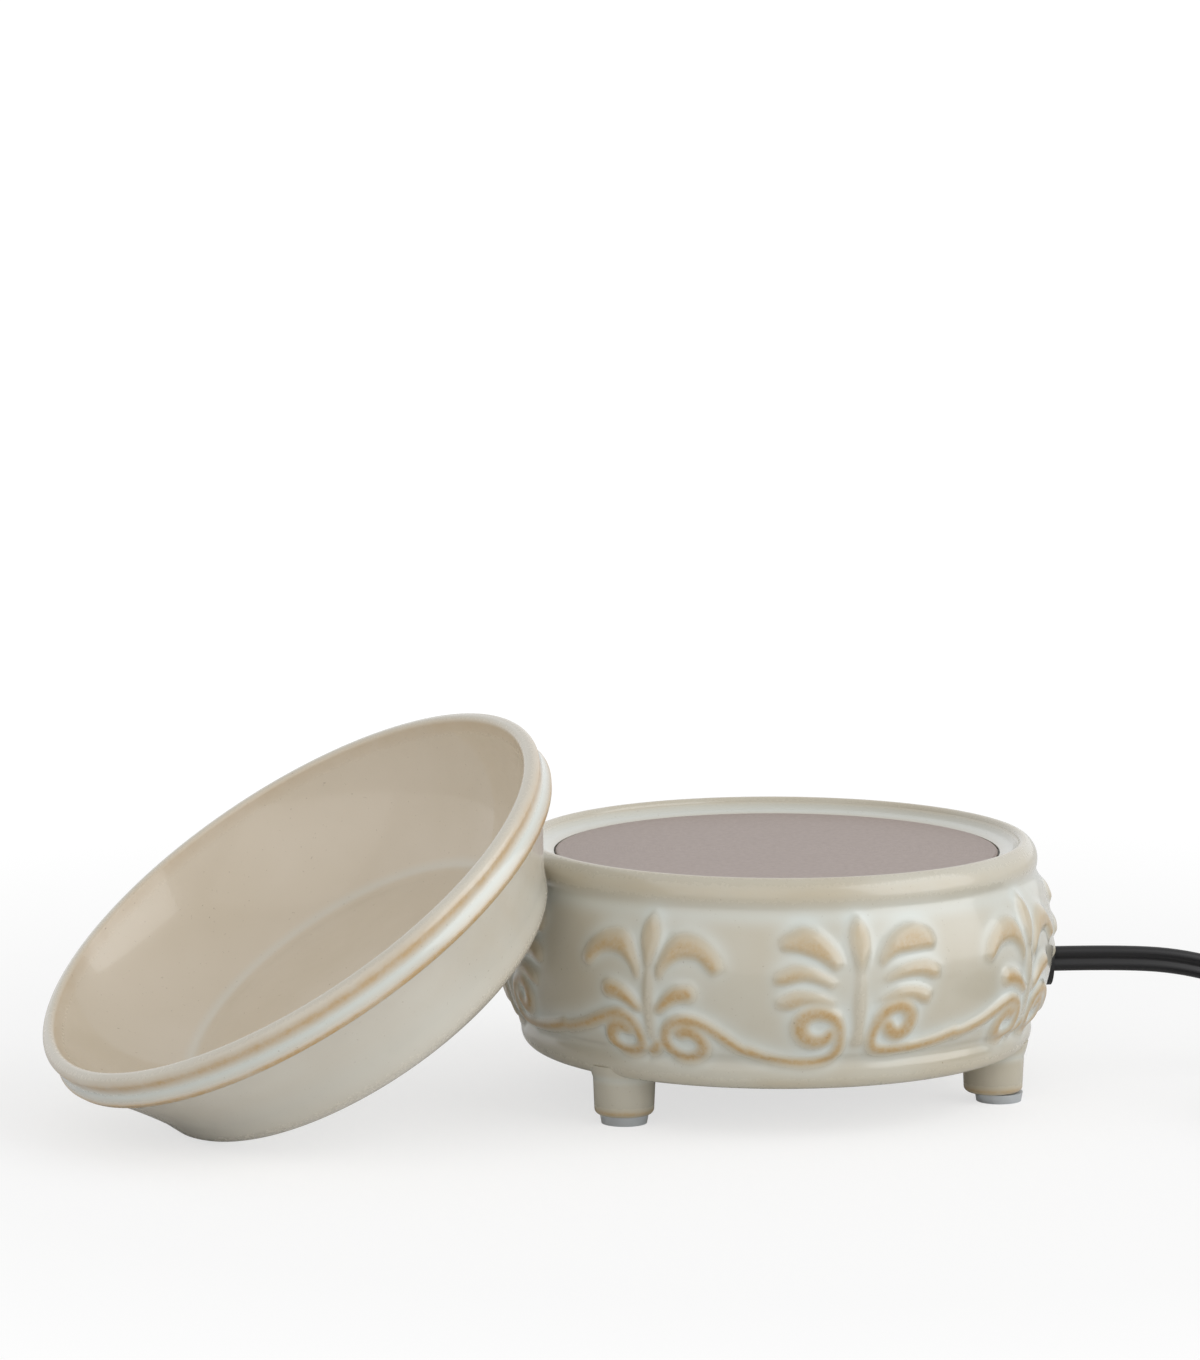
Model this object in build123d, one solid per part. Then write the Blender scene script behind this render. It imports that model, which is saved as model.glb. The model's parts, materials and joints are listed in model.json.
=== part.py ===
"""Ceramic candle and wax warmer, with its loose wax dish, cord, switch and plug.

A glazed stoneware body stands on three moulded feet and carries a coated heating plate. The
plate's stud runs down through the heater, the clamp and the heat shield to a pillar, and one
screw draws the bottom cover up against the body. The dish leans on the body at the left.
Millimetres. +Z is up, the front is -Y, and the origin is on the table under the body's axis.
"""
import os
from math import ceil, cos, hypot, pi, radians, sin, sqrt, tan

from build123d import *

# Heating plate. The body's radii follow from it, outwards.
plate_radius = 48.9
plate_thickness = 1.4
plate_edge_round = 0.5
plate_gap = 0.4
stud_radius = 2.5
stud_length = 16.8
stud_clearance = 0.1

# Body: its radii from the plate outwards
slope_width = 2.9
slope_edge = 1.2
lip_width = 1.4
rim_overhang = 2.7
neck_groove = 0.4
belly_bulge = 4.2
flange_inset = 4.7
waist_groove = 0.6
belly_start_step = 1.3
wall = 5.0

# Body: its heights from the table up, and from the rim down
pad_thickness = 2.0
foot_length = 9.0
flange_round = 3.6
flange_height = 5.2
waist_length = 2.6
body_height = 46.3
rim_height = 6.9
lip_drop = 1.2
slope_edge_drop = 1.3
slope_fall = 0.6
floor_thickness = 4.4

# Body: where the middles of its round stretches lie, along and across them
lip_round_shares = (0.7, 0.3)
rim_bulge_share = 0.52
belly_middle_share = 0.51
waist_middle_share = 0.46

# Feet and pads
foot_inset = 7.6
foot_angles = {"left": -42.0, "right": 78.0, "back": 198.0}
foot_radius = 6.8
foot_taper = 0.3
foot_edge_round = 1.3
foot_root_flare = 0.9
foot_root_depth = 2.4
pad_radius = 5.3
pad_slope = 0.35
pad_slips = {"left": 0.0, "right": 1.3, "back": 0.5}

# Palmette frieze on the wall: two motifs that take turns, joined by scrolls
frieze_height = 33.0
frieze_relief = 1.2
motif_pairs = 4
upright_angle = 17.0
open_angle = -26.5
scroll_width = 2.2

# Each motif's right half, as shares: across, of half a motif's turn, and up, of the frieze's
# height. The left half is its mirror image. A petal or leaf is a root, a point on its upper arc,
# a tip and a point on its lower arc. A scroll is a chain of arcs, each from the last one's end.
upright_petal_shares = [(0.0, 0.56), (0.125, 0.80), (0.0, 0.98), (-0.125, 0.80)]
upright_stem_shares = [(-0.085, 0.05), (0.085, 0.05), (0.045, 0.63), (-0.045, 0.63)]
upright_leaf_shares = [
    [(0.17, 0.635), (0.47, 0.90), (0.74, 0.80), (0.44, 0.735)],
    [(0.21, 0.53), (0.47, 0.665), (0.75, 0.60), (0.48, 0.575)],
    [(0.20, 0.405), (0.46, 0.52), (0.75, 0.41), (0.47, 0.425)]]
upright_scroll_shares = [
    [(0.27, 0.23), (0.40, 0.165), (0.53, 0.25)],
    [(0.40, 0.365), (0.23, 0.32)],
    [(0.165, 0.195), (0.235, 0.06)],
    [(0.60, 0.02), (1.06, 0.12)]]
open_petal_shares = [(0.0, 0.60), (0.10, 0.83), (0.0, 0.98), (-0.10, 0.83)]
open_stem_shares = [(-0.075, 0.05), (0.075, 0.05), (0.05, 0.66), (-0.05, 0.66)]
open_leaf_shares = [
    [(0.09, 0.55), (0.31, 0.86), (0.69, 0.64), (0.38, 0.70)],
    [(0.10, 0.365), (0.23, 0.485), (0.385, 0.46), (0.26, 0.41)]]
open_scroll_shares = [
    [(0.29, 0.195), (0.43, 0.20), (0.505, 0.115)],
    [(0.34, 0.025), (0.15, 0.13)],
    [(0.23, 0.265), (0.39, 0.295)],
    [(0.68, 0.205), (1.06, 0.07)]]

# What the plate clamps
shelf_width = 4.9
shelf_depth = 3.4
gasket_thickness = 0.8
gasket_inset = 1.1
spigot_width = 1.3
spigot_depth = 2.4
shield_side_gap = 1.2
mica_side_gap = 2.2
mica_thickness = 0.4
ribbon_thickness = 0.4
ribbon_width = 4.0
ribbon_turns = 4
ribbon_inner_radius = 9.0
ribbon_edge_gap = 6.5
clamp_step = 1.5
clamp_thickness = 1.2
insulation_step = 2.0
insulation_thickness = 4.0
shield_thickness = 0.6
shield_lip = 3.6
sheet_hole_clearance = 0.3
nut_across_flats = 8.0
nut_height = 4.0
pillar_across_flats = 8.0
pillar_bore_spare = 1.0

# Bottom cover and its screw
cover_thickness = 1.6
cover_margin = 1.0
cover_land = 3.2
cover_gap = 0.3
cover_vent_radius = 1.6
cover_vent_circle = 26.0
cover_vents = 12
screw_radius = 1.95
screw_clearance = 0.1
screw_head_radius = 3.8
screw_head_height = 2.1
screw_head_round_shares = (0.8, 0.3)
screw_length = 11.0
screw_slot_width = 1.0
screw_slot_depth = 0.9

# Cord outlet, cord stop, splices, cutoff and wires
outlet_angle = 99.0
outlet_height = 26.0
outlet_seat_depth = 0.7
bushing_radius = 4.2
bushing_flange_radius = 5.8
bushing_flange = 1.1
bushing_lip_radius = 5.0
bushing_lip = 1.2
bushing_clearance = 0.1
seat_clearance = 0.25
stop_length = 5.0
stop_radius = 4.6
cord_inside_length = 22.6
splice_radius = 2.2
splice_length = 9.0
splice_bore_depth = 4.0
splice_spread = 5.2
splice_gap = 0.2
wire_radius = 0.9
wire_bend = 3.0
tab_width = 3.0
tab_thickness = 0.6
tab_side = 9.0
tab_a_distance = 23.0
tab_b_distance = 3.0
tab_drop = 12.0
tab_hole_clearance = 0.7
cutoff_radius = 1.9
cutoff_length = 11.0
cutoff_lead_radius = 0.5
cutoff_lead_length = 3.0
cutoff_gap = 0.15
clip_width = 4.0
clip_thickness = 0.5
clip_ear = 3.5

# Cord, coil and tie
cord_width = 5.6
cord_thickness = 2.8
coil_inner_radius = 25.0
coil_step = 3.4
coil_layer_gap = 0.45
coil_turns_in = 3
coil_arcs_out = 5
tie_thickness = 0.7
tie_gap = 0.35
tie_width = 5.0

# In-line thumbwheel switch
switch_length = 54.0
switch_width = 22.0
switch_height = 15.6
switch_end_round = 8.6
switch_edge_round = 2.0
switch_wall = 1.6
wheel_radius = 12.6
wheel_thickness = 3.6
wheel_gap = 0.4
wheel_slot_length = 16.0
wheel_flutes = 20
wheel_flute_radius = 0.9
wheel_post_radius = 2.2
wheel_post_clearance = 0.05
wheel_cam_radius = 5.2
wheel_cam_height = 1.5
wheel_cam_flat = 3.6
case_boss_radius = 3.2
case_screw_radius = 1.2
case_screw_head_radius = 2.3
case_screw_head_height = 1.4
case_screw_reach = 6.0
case_screw_x = 17.5
case_screw_y = 6.4
cord_seat = 5.0
cord_seat_clearance = 0.15
contact_length = 13.0
contact_thickness = 0.5
contact_height = 3.0
contact_offset = 6.6

# Plug
plug_relief_length = 13.0
plug_relief_width = 8.4
plug_relief_height = 6.6
plug_body_length = 23.0
plug_shoulder_length = 5.0
plug_shoulder_shares = (0.5, 0.7)
plug_width = 24.0
plug_height = 15.0
plug_corner = 3.0
blade_spacing = 12.7
blade_length = 16.0
blade_depth = 6.0
blade_widths = (6.4, 7.9)
blade_thickness = 1.5
blade_hole_radius = 1.5
blade_hole_from_tip = 3.6
blade_tip_chamfer = 0.6

# Wax dish, measured square to its own axis
dish_radius = 62.4
dish_height = 31.8
dish_foot_width = 4.4
dish_foot_recess = 0.9
dish_tilt = 34.4
dish_facing = -62.0
dish_bearing = -69.0
dish_rest_gap = 0.3
dish_floor_gap = 0.02

# The dish's outline from its foot to its crest and its bowl from there to its floor: shares of
# its radius and of its height. A step of two points is an arc.
dish_foot_shares = (0.705, 0.0)
dish_outline_shares = [
    ((0.748, 0.041), (0.780, 0.104)),
    (0.806, 0.233),
    ((0.870, 0.459), (0.965, 0.739)),
    (0.992, 0.752),
    (1.0, 0.783),
    ((0.989, 0.871), (1.0, 0.940)),
    ((0.992, 0.985), (0.976, 1.0))]
dish_bowl_shares = [
    ((0.952, 0.991), (0.947, 0.972)),
    ((0.837, 0.550), (0.670, 0.258)),
    ((0.615, 0.211), (0.569, 0.201))]

# Where the cord lies on the table: the switch, the coil, the plug and the route between them
switch_place = (169.0, 24.0)
coil_place = (143.0, -30.0)
plug_place = (184.5, -110.0)
lead_places = [(92.5, 14.9, 26.4), (107.5, 17.8, 21.4), (121, 21.6, 12.4)]
run_places = [(216.7, 20.1, 5.2), (228.7, 11.1, 3.4), (236.4, -1.8, 2.8), (238.8, -16.6, 2.8),
              (235.2, -31.2, 2.8), (226.4, -43.3, 2.8), (213.9, -51.7, 2.8), (197, -57.4, 2.9),
              (177.5, -62.8, 3.2)]
tail_places = [(178.5, -61.5, 11.0), (180.8, -76, 10.6), (183, -90, 8.6)]

# Share of its shorter run that a bend may take on each side of its corner
bend_share = 0.45

# Overrun of every cut
over = 2.0

# Radii that follow, from the plate outwards and from there to the underside
recess_radius = plate_radius + plate_gap
slope_radius = recess_radius + slope_width
lip_radius = slope_radius + slope_edge
crest_radius = lip_radius + lip_width
rim_radius = crest_radius + rim_overhang
neck_radius = rim_radius - neck_groove
belly_radius = neck_radius + belly_bulge
flange_radius = belly_radius - flange_inset
waist_radius = flange_radius - waist_groove
belly_start_radius = waist_radius + belly_start_step
foot_circle = flange_radius - foot_inset
cover_radius = foot_circle - foot_radius - cover_margin
cover_bore_radius = cover_radius - cover_land
shelf_radius = recess_radius - shelf_width
spigot_radius = shelf_radius - plate_gap
spigot_bore_radius = spigot_radius - spigot_width
shield_radius = spigot_bore_radius - shield_side_gap
mica_radius = spigot_bore_radius - mica_side_gap
clamp_radius = mica_radius - clamp_step
insulation_radius = clamp_radius - insulation_step
ribbon_outer_radius = mica_radius - ribbon_edge_gap
ribbon_pitch = (ribbon_outer_radius - ribbon_width - ribbon_inner_radius) / (ribbon_turns - 1)
outlet_seat = belly_radius - outlet_seat_depth
cord_inside_end = outlet_seat - cord_inside_length

# Heights that follow
underside_z = pad_thickness + foot_length
waist_z = underside_z + flange_height
belly_start_z = waist_z + waist_length
rim_z = underside_z + body_height
neck_z = rim_z - rim_height
belly_z = belly_start_z + belly_middle_share * (neck_z - belly_start_z)
slope_z = rim_z - lip_drop - slope_edge_drop
plate_top_z = slope_z - slope_fall
plate_low_z = plate_top_z - plate_thickness
shelf_z = plate_low_z - gasket_thickness
frieze_low_z = neck_z - frieze_height
cover_top_z = underside_z + cover_thickness
heater_low_z = plate_low_z - 2 * mica_thickness - ribbon_thickness
clamp_low_z = heater_low_z - clamp_thickness
insulation_low_z = clamp_low_z - insulation_thickness
shield_low_z = insulation_low_z - shield_thickness
nut_low_z = shield_low_z - nut_height
stud_low_z = plate_low_z - stud_length
outlet_z = pad_thickness + outlet_height
half_width = cord_width / 2
half_thickness = cord_thickness / 2


def profile(start, *steps):
    """Closed face in the XZ plane. A step of one point is a line, a step of two is an arc."""
    edges, here = [], start
    for step in steps:
        if isinstance(step[0], tuple):
            middle, there = step
            edges.append(ThreePointArc(*[(r, 0, z) for r, z in (here, middle, there)]))
        else:
            there = step
            edges.append(Line((here[0], 0, here[1]), (there[0], 0, there[1])))
        here = there
    if here != start:
        edges.append(Line((here[0], 0, here[1]), (start[0], 0, start[1])))
    return Face(Wire(edges))


def turned(start, *steps):
    """Solid of revolution about Z from a profile."""
    return revolve(profile(start, *steps), Axis.Z)


def post(radius, low, high, x=0, y=0):
    """Upright round bar between two heights."""
    return Pos(x, y, low) * extrude(Circle(radius), high - low)


def tube(outer, inner, low, high):
    """Upright ring between two heights."""
    return post(outer, low, high) - post(inner, low - over, high + over)


def hex_post(across_flats, low, high):
    """Upright hexagonal bar between two heights."""
    section = RegularPolygon(across_flats / 2, 6, major_radius=False)
    return Pos(0, 0, low) * extrude(section, high - low)


def around(radius, angle, z=0):
    """Point at an angle from the front towards +X."""
    return Vector(radius * sin(radians(angle)), -radius * cos(radians(angle)), z)


def outlet_frame(distance):
    """Frame on the cord outlet's axis: z points out of the body, x is up, y is sideways."""
    return Plane(around(distance, outlet_angle, outlet_z), x_dir=(0, 0, 1),
                 z_dir=around(1, outlet_angle))


def inside_point(distance, side, z):
    """Point in the body, at a distance along the outlet's direction and a step sideways."""
    along = around(distance, outlet_angle, z)
    across = Vector(cos(radians(outlet_angle)), sin(radians(outlet_angle)), 0) * side
    return along + across


def inside_block(distance, side, size, low, high):
    """Upright block lined up with the outlet. Size is its length outwards and sideways."""
    block = extrude(Rectangle(size[0], size[1]), high - low)
    return Pos(*inside_point(distance, side, low)) * Rot(0, 0, outlet_angle - 90) * block


def write(name, shape):
    """One sub-part to one file."""
    export_step(shape, "parts/" + name + ".step")


def group(solids):
    """Several separate solids as one sub-part."""
    return Compound(children=list(solids))


# Body

def foot(angle):
    """Tapering round stub that is moulded with the body."""
    low, root, top = pad_thickness, underside_z, underside_z + foot_root_depth
    side = foot_radius - foot_taper
    edge = foot_edge_round * (1 - sqrt(2) / 2)
    stub = turned(
        (0, low),
        (side - foot_edge_round, low),
        ((side - edge, low + edge), (side, low + foot_edge_round)),
        (foot_radius, root - foot_root_flare),
        ((foot_radius + foot_root_flare / 3, root), (foot_radius + foot_root_flare, top)),
        (0, top))
    return Pos(*around(foot_circle, angle)) * stub


def belly_middle(extra=0):
    """Middle point of the wall's bulge."""
    return (belly_radius + extra, belly_z)


def make_shell():
    """The body's turned form: flange, belly, rolled rim, plate recess, cavity and floor."""
    base = underside_z
    round_share = 1 - sqrt(2) / 2
    edge = flange_round * round_share
    cavity_top = shelf_z - shelf_depth
    lip_across, lip_down = lip_round_shares
    return turned(
        (cover_radius, base),
        (flange_radius - flange_round, base),
        ((flange_radius - edge, base + edge), (flange_radius, base + flange_round)),
        (flange_radius, waist_z),
        ((waist_radius, waist_z + waist_middle_share * waist_length),
         (belly_start_radius, belly_start_z)),
        (belly_middle(), (neck_radius, neck_z)),
        ((rim_radius, neck_z + rim_bulge_share * rim_height), (crest_radius, rim_z)),
        ((crest_radius - lip_across * lip_width, rim_z - lip_down * lip_drop),
         (lip_radius, rim_z - lip_drop)),
        (slope_radius, slope_z),
        (recess_radius, plate_top_z - plate_edge_round / 2),
        (recess_radius, shelf_z),
        (shelf_radius, shelf_z),
        (shelf_radius, cavity_top),
        (neck_radius - wall - shelf_depth / 2, cavity_top - shelf_depth),
        ((belly_radius - wall, belly_z),
         (belly_start_radius - wall, base + floor_thickness + foot_root_depth)),
        (belly_start_radius - wall - foot_root_depth, base + floor_thickness),
        (cover_bore_radius, base + floor_thickness),
        (cover_bore_radius, cover_top_z),
        (cover_radius, cover_top_z))


def motif_point(shares, side=1):
    """Place on a motif's plane: x is the belly's radius times the sine of the angle across."""
    across, up = shares
    half_turn_angle = pi / (2 * motif_pairs)
    return (side * belly_radius * sin(across * half_turn_angle),
            frieze_low_z + up * frieze_height)


def leaf(shares, side=1):
    """Face between two arcs, from a root over the upper arc to the tip and back."""
    root, upper, tip, lower = (motif_point(pair, side) for pair in shares)
    return Face(Wire([ThreePointArc(root, upper, tip), ThreePointArc(tip, lower, root)]))


def scroll(chain_shares, side):
    """Band of even width along a chain of arcs."""
    arcs, here = [], None
    for shares in chain_shares:
        places = [motif_point(pair, side) for pair in shares]
        arcs.append(ThreePointArc(*places) if here is None else ThreePointArc(here, *places))
        here = places[-1]
    return trace(arcs, scroll_width)


def motif(petal_shares, stem_shares, leaf_tables, scroll_tables):
    """A palmette's outlines: petal and stem, and its leaves and scroll on both sides."""
    stem = Face(Wire(Polyline(*[motif_point(pair) for pair in stem_shares], close=True)))
    outlines = [leaf(petal_shares) + stem]
    for side in (-1, 1):
        outlines += [leaf(shares, side) for shares in leaf_tables]
        outlines.append(scroll(scroll_tables, side))
    return outlines


def relief_ring():
    """Ring that the motifs are cut from: the wall's own bulge, standing out by the relief."""
    low, depth = frieze_low_z - scroll_width, wall / 2
    return turned(
        (waist_radius - depth, low),
        (waist_radius, low),
        (belly_start_radius + frieze_relief, belly_start_z),
        (belly_middle(frieze_relief), (neck_radius + frieze_relief / 2, neck_z)),
        (neck_radius - depth, neck_z),
        (belly_middle(-depth), (waist_radius - depth, low)))


def make_frieze():
    """All the motifs, each pushed straight out through the ring from its own plane."""
    ring = relief_ring()
    tables = {
        upright_angle: (upright_petal_shares, upright_stem_shares, upright_leaf_shares,
                        upright_scroll_shares),
        open_angle: (open_petal_shares, open_stem_shares, open_leaf_shares,
                     open_scroll_shares)}
    reliefs = []
    for angle, motif_tables in tables.items():
        outward = around(1, angle)
        across = (cos(radians(angle)), sin(radians(angle)), 0)
        plane = Plane(outward * (belly_radius - 2 * wall), x_dir=across, z_dir=outward)
        for outline in motif(*motif_tables):
            relief = extrude(plane * outline, 3 * wall, dir=outward) & ring
            reliefs += [Rot(0, 0, k * 360 / motif_pairs) * relief for k in range(motif_pairs)]
    return reliefs


def make_housing():
    """Hollow stoneware body with its frieze, feet and cord outlet."""
    feet = [foot(angle) for angle in foot_angles.values()]
    seat = outlet_frame(outlet_seat) * extrude(Circle(bushing_flange_radius + seat_clearance), wall)
    hole = outlet_frame(outlet_seat - 2 * wall) * extrude(
        Circle(bushing_radius + bushing_clearance), 3 * wall)
    return make_shell() + feet + make_frieze() - seat - hole


def make_foot_pad(name):
    """Stick-on pad, a shallow cone that is widest at its top."""
    pad = turned((0, 0), (pad_radius - pad_slope, 0), (pad_radius, pad_thickness),
                 (0, pad_thickness))
    return Pos(*around(foot_circle + pad_slips[name], foot_angles[name])) * pad


# Heater stack

def make_heating_plate():
    """Coated disc with a centring spigot and a stud below."""
    edge = plate_edge_round
    spigot_low = plate_low_z - spigot_depth
    return turned(
        (0, plate_top_z),
        (plate_radius - edge, plate_top_z),
        ((plate_radius - edge * (1 - sqrt(2) / 2), plate_top_z - edge * (1 - sqrt(2) / 2)),
         (plate_radius, plate_top_z - edge)),
        (plate_radius, plate_low_z),
        (spigot_radius, plate_low_z),
        (spigot_radius, spigot_low),
        (spigot_bore_radius, spigot_low),
        (spigot_bore_radius, plate_low_z),
        (stud_radius, plate_low_z),
        (stud_radius, stud_low_z),
        (0, stud_low_z))


def make_plate_gasket():
    """Flat ring between the plate's edge and the body's shelf."""
    return tube(recess_radius - gasket_inset, shelf_radius, shelf_z, plate_low_z)


def tab_cut(low, high, clearance):
    """The two passages of the heater's terminals."""
    size = (tab_thickness + 2 * clearance, tab_width + 2 * clearance)
    return [inside_block(tab_a_distance, tab_side, size, low, high),
            inside_block(tab_b_distance, -tab_side, size, low, high)]


def pierced_disc(radius, low, high):
    """Disc with the stud's hole and the terminals' slots."""
    hole = post(stud_radius + sheet_hole_clearance, low - over, high + over)
    return post(radius, low, high) - hole - tab_cut(low - over, high + over, tab_hole_clearance)


def make_mica_sheet(low):
    """Insulating sheet. Only the lower one is pierced for the terminals."""
    high = low + mica_thickness
    if low < plate_low_z - ribbon_thickness - mica_thickness:
        return pierced_disc(mica_radius, low, high)
    return tube(mica_radius, stud_radius + sheet_hole_clearance, low, high)


def make_heating_ribbon():
    """Flat resistance track: open rings joined in and out, as a stamped meander."""
    high = plate_low_z - mica_thickness
    low = high - ribbon_thickness
    track = None
    for turn in range(ribbon_turns):
        inner = ribbon_inner_radius + turn * ribbon_pitch
        ring = tube(inner + ribbon_width, inner, low, high)
        track = ring if track is None else track + ring
        if turn:
            link = extrude(Rectangle(ribbon_pitch, ribbon_width), high - low)
            side = 90 if turn % 2 else -90
            place = around(inner - (ribbon_pitch - ribbon_width) / 2, outlet_angle + side, low)
            track = track + Pos(*place) * Rot(0, 0, outlet_angle + side - 90) * link
    return track


def make_heater_terminals():
    """Two blades that hang from the ribbon through the stack."""
    high = plate_low_z - mica_thickness - ribbon_thickness
    return group(tab_cut(high - tab_drop, high, 0))


def make_heat_shield():
    """Pressed cup round the insulation."""
    cup = post(shield_radius, shield_low_z, insulation_low_z + shield_lip)
    hollow = post(shield_radius - shield_thickness, insulation_low_z,
                  insulation_low_z + shield_lip + over)
    hole = post(stud_radius + sheet_hole_clearance, shield_low_z - over, insulation_low_z + over)
    slots = tab_cut(shield_low_z - over, insulation_low_z + over, tab_hole_clearance)
    return cup - hollow - hole - slots


def make_clamp_nut():
    """Nut on the plate's stud."""
    bore = post(stud_radius + stud_clearance, nut_low_z - over, shield_low_z + over)
    return hex_post(nut_across_flats, nut_low_z, shield_low_z) - bore


def make_centre_pillar():
    """Hexagonal pillar from the nut to the cover, bored for the stud and the screw."""
    top_bore = post(stud_radius + stud_clearance, stud_low_z - pillar_bore_spare, nut_low_z + over)
    low_bore = post(screw_radius + screw_clearance, cover_top_z - over,
                    underside_z + screw_length + pillar_bore_spare)
    return hex_post(pillar_across_flats, cover_top_z, nut_low_z) - top_bore - low_bore


def make_base_cover():
    """Round sheet in the body's underside, with a ring of vents."""
    hole = post(screw_radius + screw_clearance, underside_z - over, cover_top_z + over)
    vents = [post(cover_vent_radius, underside_z - over, cover_top_z + over,
                  *tuple(around(cover_vent_circle, k * 360 / cover_vents))[:2])
             for k in range(cover_vents)]
    return post(cover_radius - cover_gap, underside_z, cover_top_z) - hole - vents


def make_cover_screw():
    """Domed screw with a slot, from below."""
    low = underside_z - screw_head_height
    across, up = screw_head_round_shares
    head = turned(
        (0, underside_z),
        (screw_head_radius, underside_z),
        ((screw_head_radius * across, low + screw_head_height * up), (0, low)))
    slot = extrude(Rectangle(2 * (screw_head_radius + over), screw_slot_width),
                   screw_slot_depth + over)
    shank = post(screw_radius, underside_z, underside_z + screw_length)
    return head + shank - Pos(0, 0, low - over) * slot


# Cord outlet and wiring

def flat_section(frame, clearance=0):
    """The cord's flat twin section, its wide side along the frame's x."""
    return frame * SlotOverall(cord_width + 2 * clearance, cord_thickness + 2 * clearance)


def make_cord_bushing():
    """Rubber grommet in the body's wall, with the cord's flat hole."""
    sleeve_end = outlet_seat - wall - seat_clearance
    flange = outlet_frame(outlet_seat) * extrude(Circle(bushing_flange_radius), bushing_flange)
    sleeve = outlet_frame(sleeve_end) * extrude(Circle(bushing_radius), outlet_seat - sleeve_end)
    lip = outlet_frame(sleeve_end - bushing_lip) * extrude(Circle(bushing_lip_radius), bushing_lip)
    length = outlet_seat - sleeve_end + bushing_lip + bushing_flange + 2 * over
    bore = extrude(flat_section(outlet_frame(sleeve_end - bushing_lip - over),
                                bushing_clearance), length)
    return flange + sleeve + lip - bore


def make_cord_inlet():
    """The cord's last stretch, from the bushing's face into the body."""
    length = outlet_seat + bushing_flange - cord_inside_end
    return extrude(flat_section(outlet_frame(cord_inside_end)), length)


def make_cord_stop():
    """Clamped sleeve behind the bushing that keeps the cord from being pulled out."""
    end = outlet_seat - wall - seat_clearance - bushing_lip - seat_clearance
    block = outlet_frame(end - stop_length) * extrude(Circle(stop_radius), stop_length)
    bore = extrude(flat_section(outlet_frame(end - stop_length - over), bushing_clearance),
                   stop_length + 2 * over)
    return block - bore


def splice_place(side):
    """Frame at a splice's mouth, on the cord's end."""
    origin = inside_point(cord_inside_end - splice_gap, 0, outlet_z + side * splice_spread / 2)
    return Plane(origin, x_dir=(0, 0, 1), z_dir=around(-1, outlet_angle))


def make_crimp_splices():
    """Two closed sleeves, one for each core of the cord."""
    pair = []
    for side in (-1, 1):
        frame = splice_place(side)
        sleeve = frame * extrude(Circle(splice_radius), splice_length)
        end = frame * Pos(0, 0, splice_length - splice_bore_depth)
        bore = end * extrude(Circle(wire_radius + bushing_clearance), splice_bore_depth + over)
        pair.append(sleeve - bore)
    return group(pair)


def wire_along(points, radius):
    """Round wire along straight runs with tangent bends."""
    bends = []
    for before, here, after in zip(points, points[1:], points[2:]):
        turn = radians((here - before).get_angle(after - here))
        run = min((here - before).length, (after - here).length)
        bends.append(min(wire_bend, bend_share * run / tan(turn / 2)))
    path = FilletPolyline(*points, radius=bends)
    frame = Plane(points[0], z_dir=points[1] - points[0])
    return sweep(frame * Circle(radius), path=path)


def cutoff_height():
    """The cutoff's axis, just under the heat shield."""
    return shield_low_z - cutoff_gap - cutoff_radius


def make_lead_wires():
    """One wire from the outer terminal, one from the cutoff, each into its splice."""
    mouth = cord_inside_end - splice_gap - splice_length
    tab_low = plate_low_z - mica_thickness - ribbon_thickness - tab_drop
    upper = outlet_z + splice_spread / 2
    lower = outlet_z - splice_spread / 2
    depth = mouth + splice_bore_depth - splice_gap
    from_tab = [inside_point(tab_a_distance, tab_side, tab_low - splice_gap),
                inside_point(tab_a_distance, tab_side, (tab_low + upper) / 2),
                inside_point(tab_a_distance - wire_bend, tab_side / 2, upper),
                inside_point(tab_a_distance, 0, upper),
                inside_point(depth, 0, upper)]
    lead_end = tab_b_distance + 2 * cutoff_lead_length + cutoff_length + tab_thickness
    out = lead_end + splice_gap
    from_cutoff = [inside_point(out, -tab_side, cutoff_height()),
                   inside_point(out + wire_bend, -tab_side, cutoff_height()),
                   inside_point(out + wire_bend, -tab_side, (cutoff_height() + lower) / 2),
                   inside_point(mouth - 2 * wire_bend, -tab_side / 2, lower),
                   inside_point(mouth - wire_bend, 0, lower),
                   inside_point(depth, 0, lower)]
    return group([wire_along(from_tab, wire_radius), wire_along(from_cutoff, wire_radius)])


def cutoff_frame(distance):
    """Frame on the cutoff's axis, its z pointing outwards."""
    return Plane(inside_point(distance, -tab_side, cutoff_height()), x_dir=(0, 0, 1),
                 z_dir=around(1, outlet_angle))


def make_thermal_cutoff():
    """Axial cutoff: a can with a lead at each end."""
    start = tab_b_distance + tab_thickness / 2 + splice_gap
    can_start = tab_b_distance + tab_thickness + cutoff_lead_length
    can = cutoff_frame(can_start) * extrude(Circle(cutoff_radius), cutoff_length)
    lead = cutoff_frame(start) * extrude(
        Circle(cutoff_lead_radius),
        tab_b_distance + 2 * cutoff_lead_length + cutoff_length + tab_thickness - start)
    return can + lead


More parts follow.
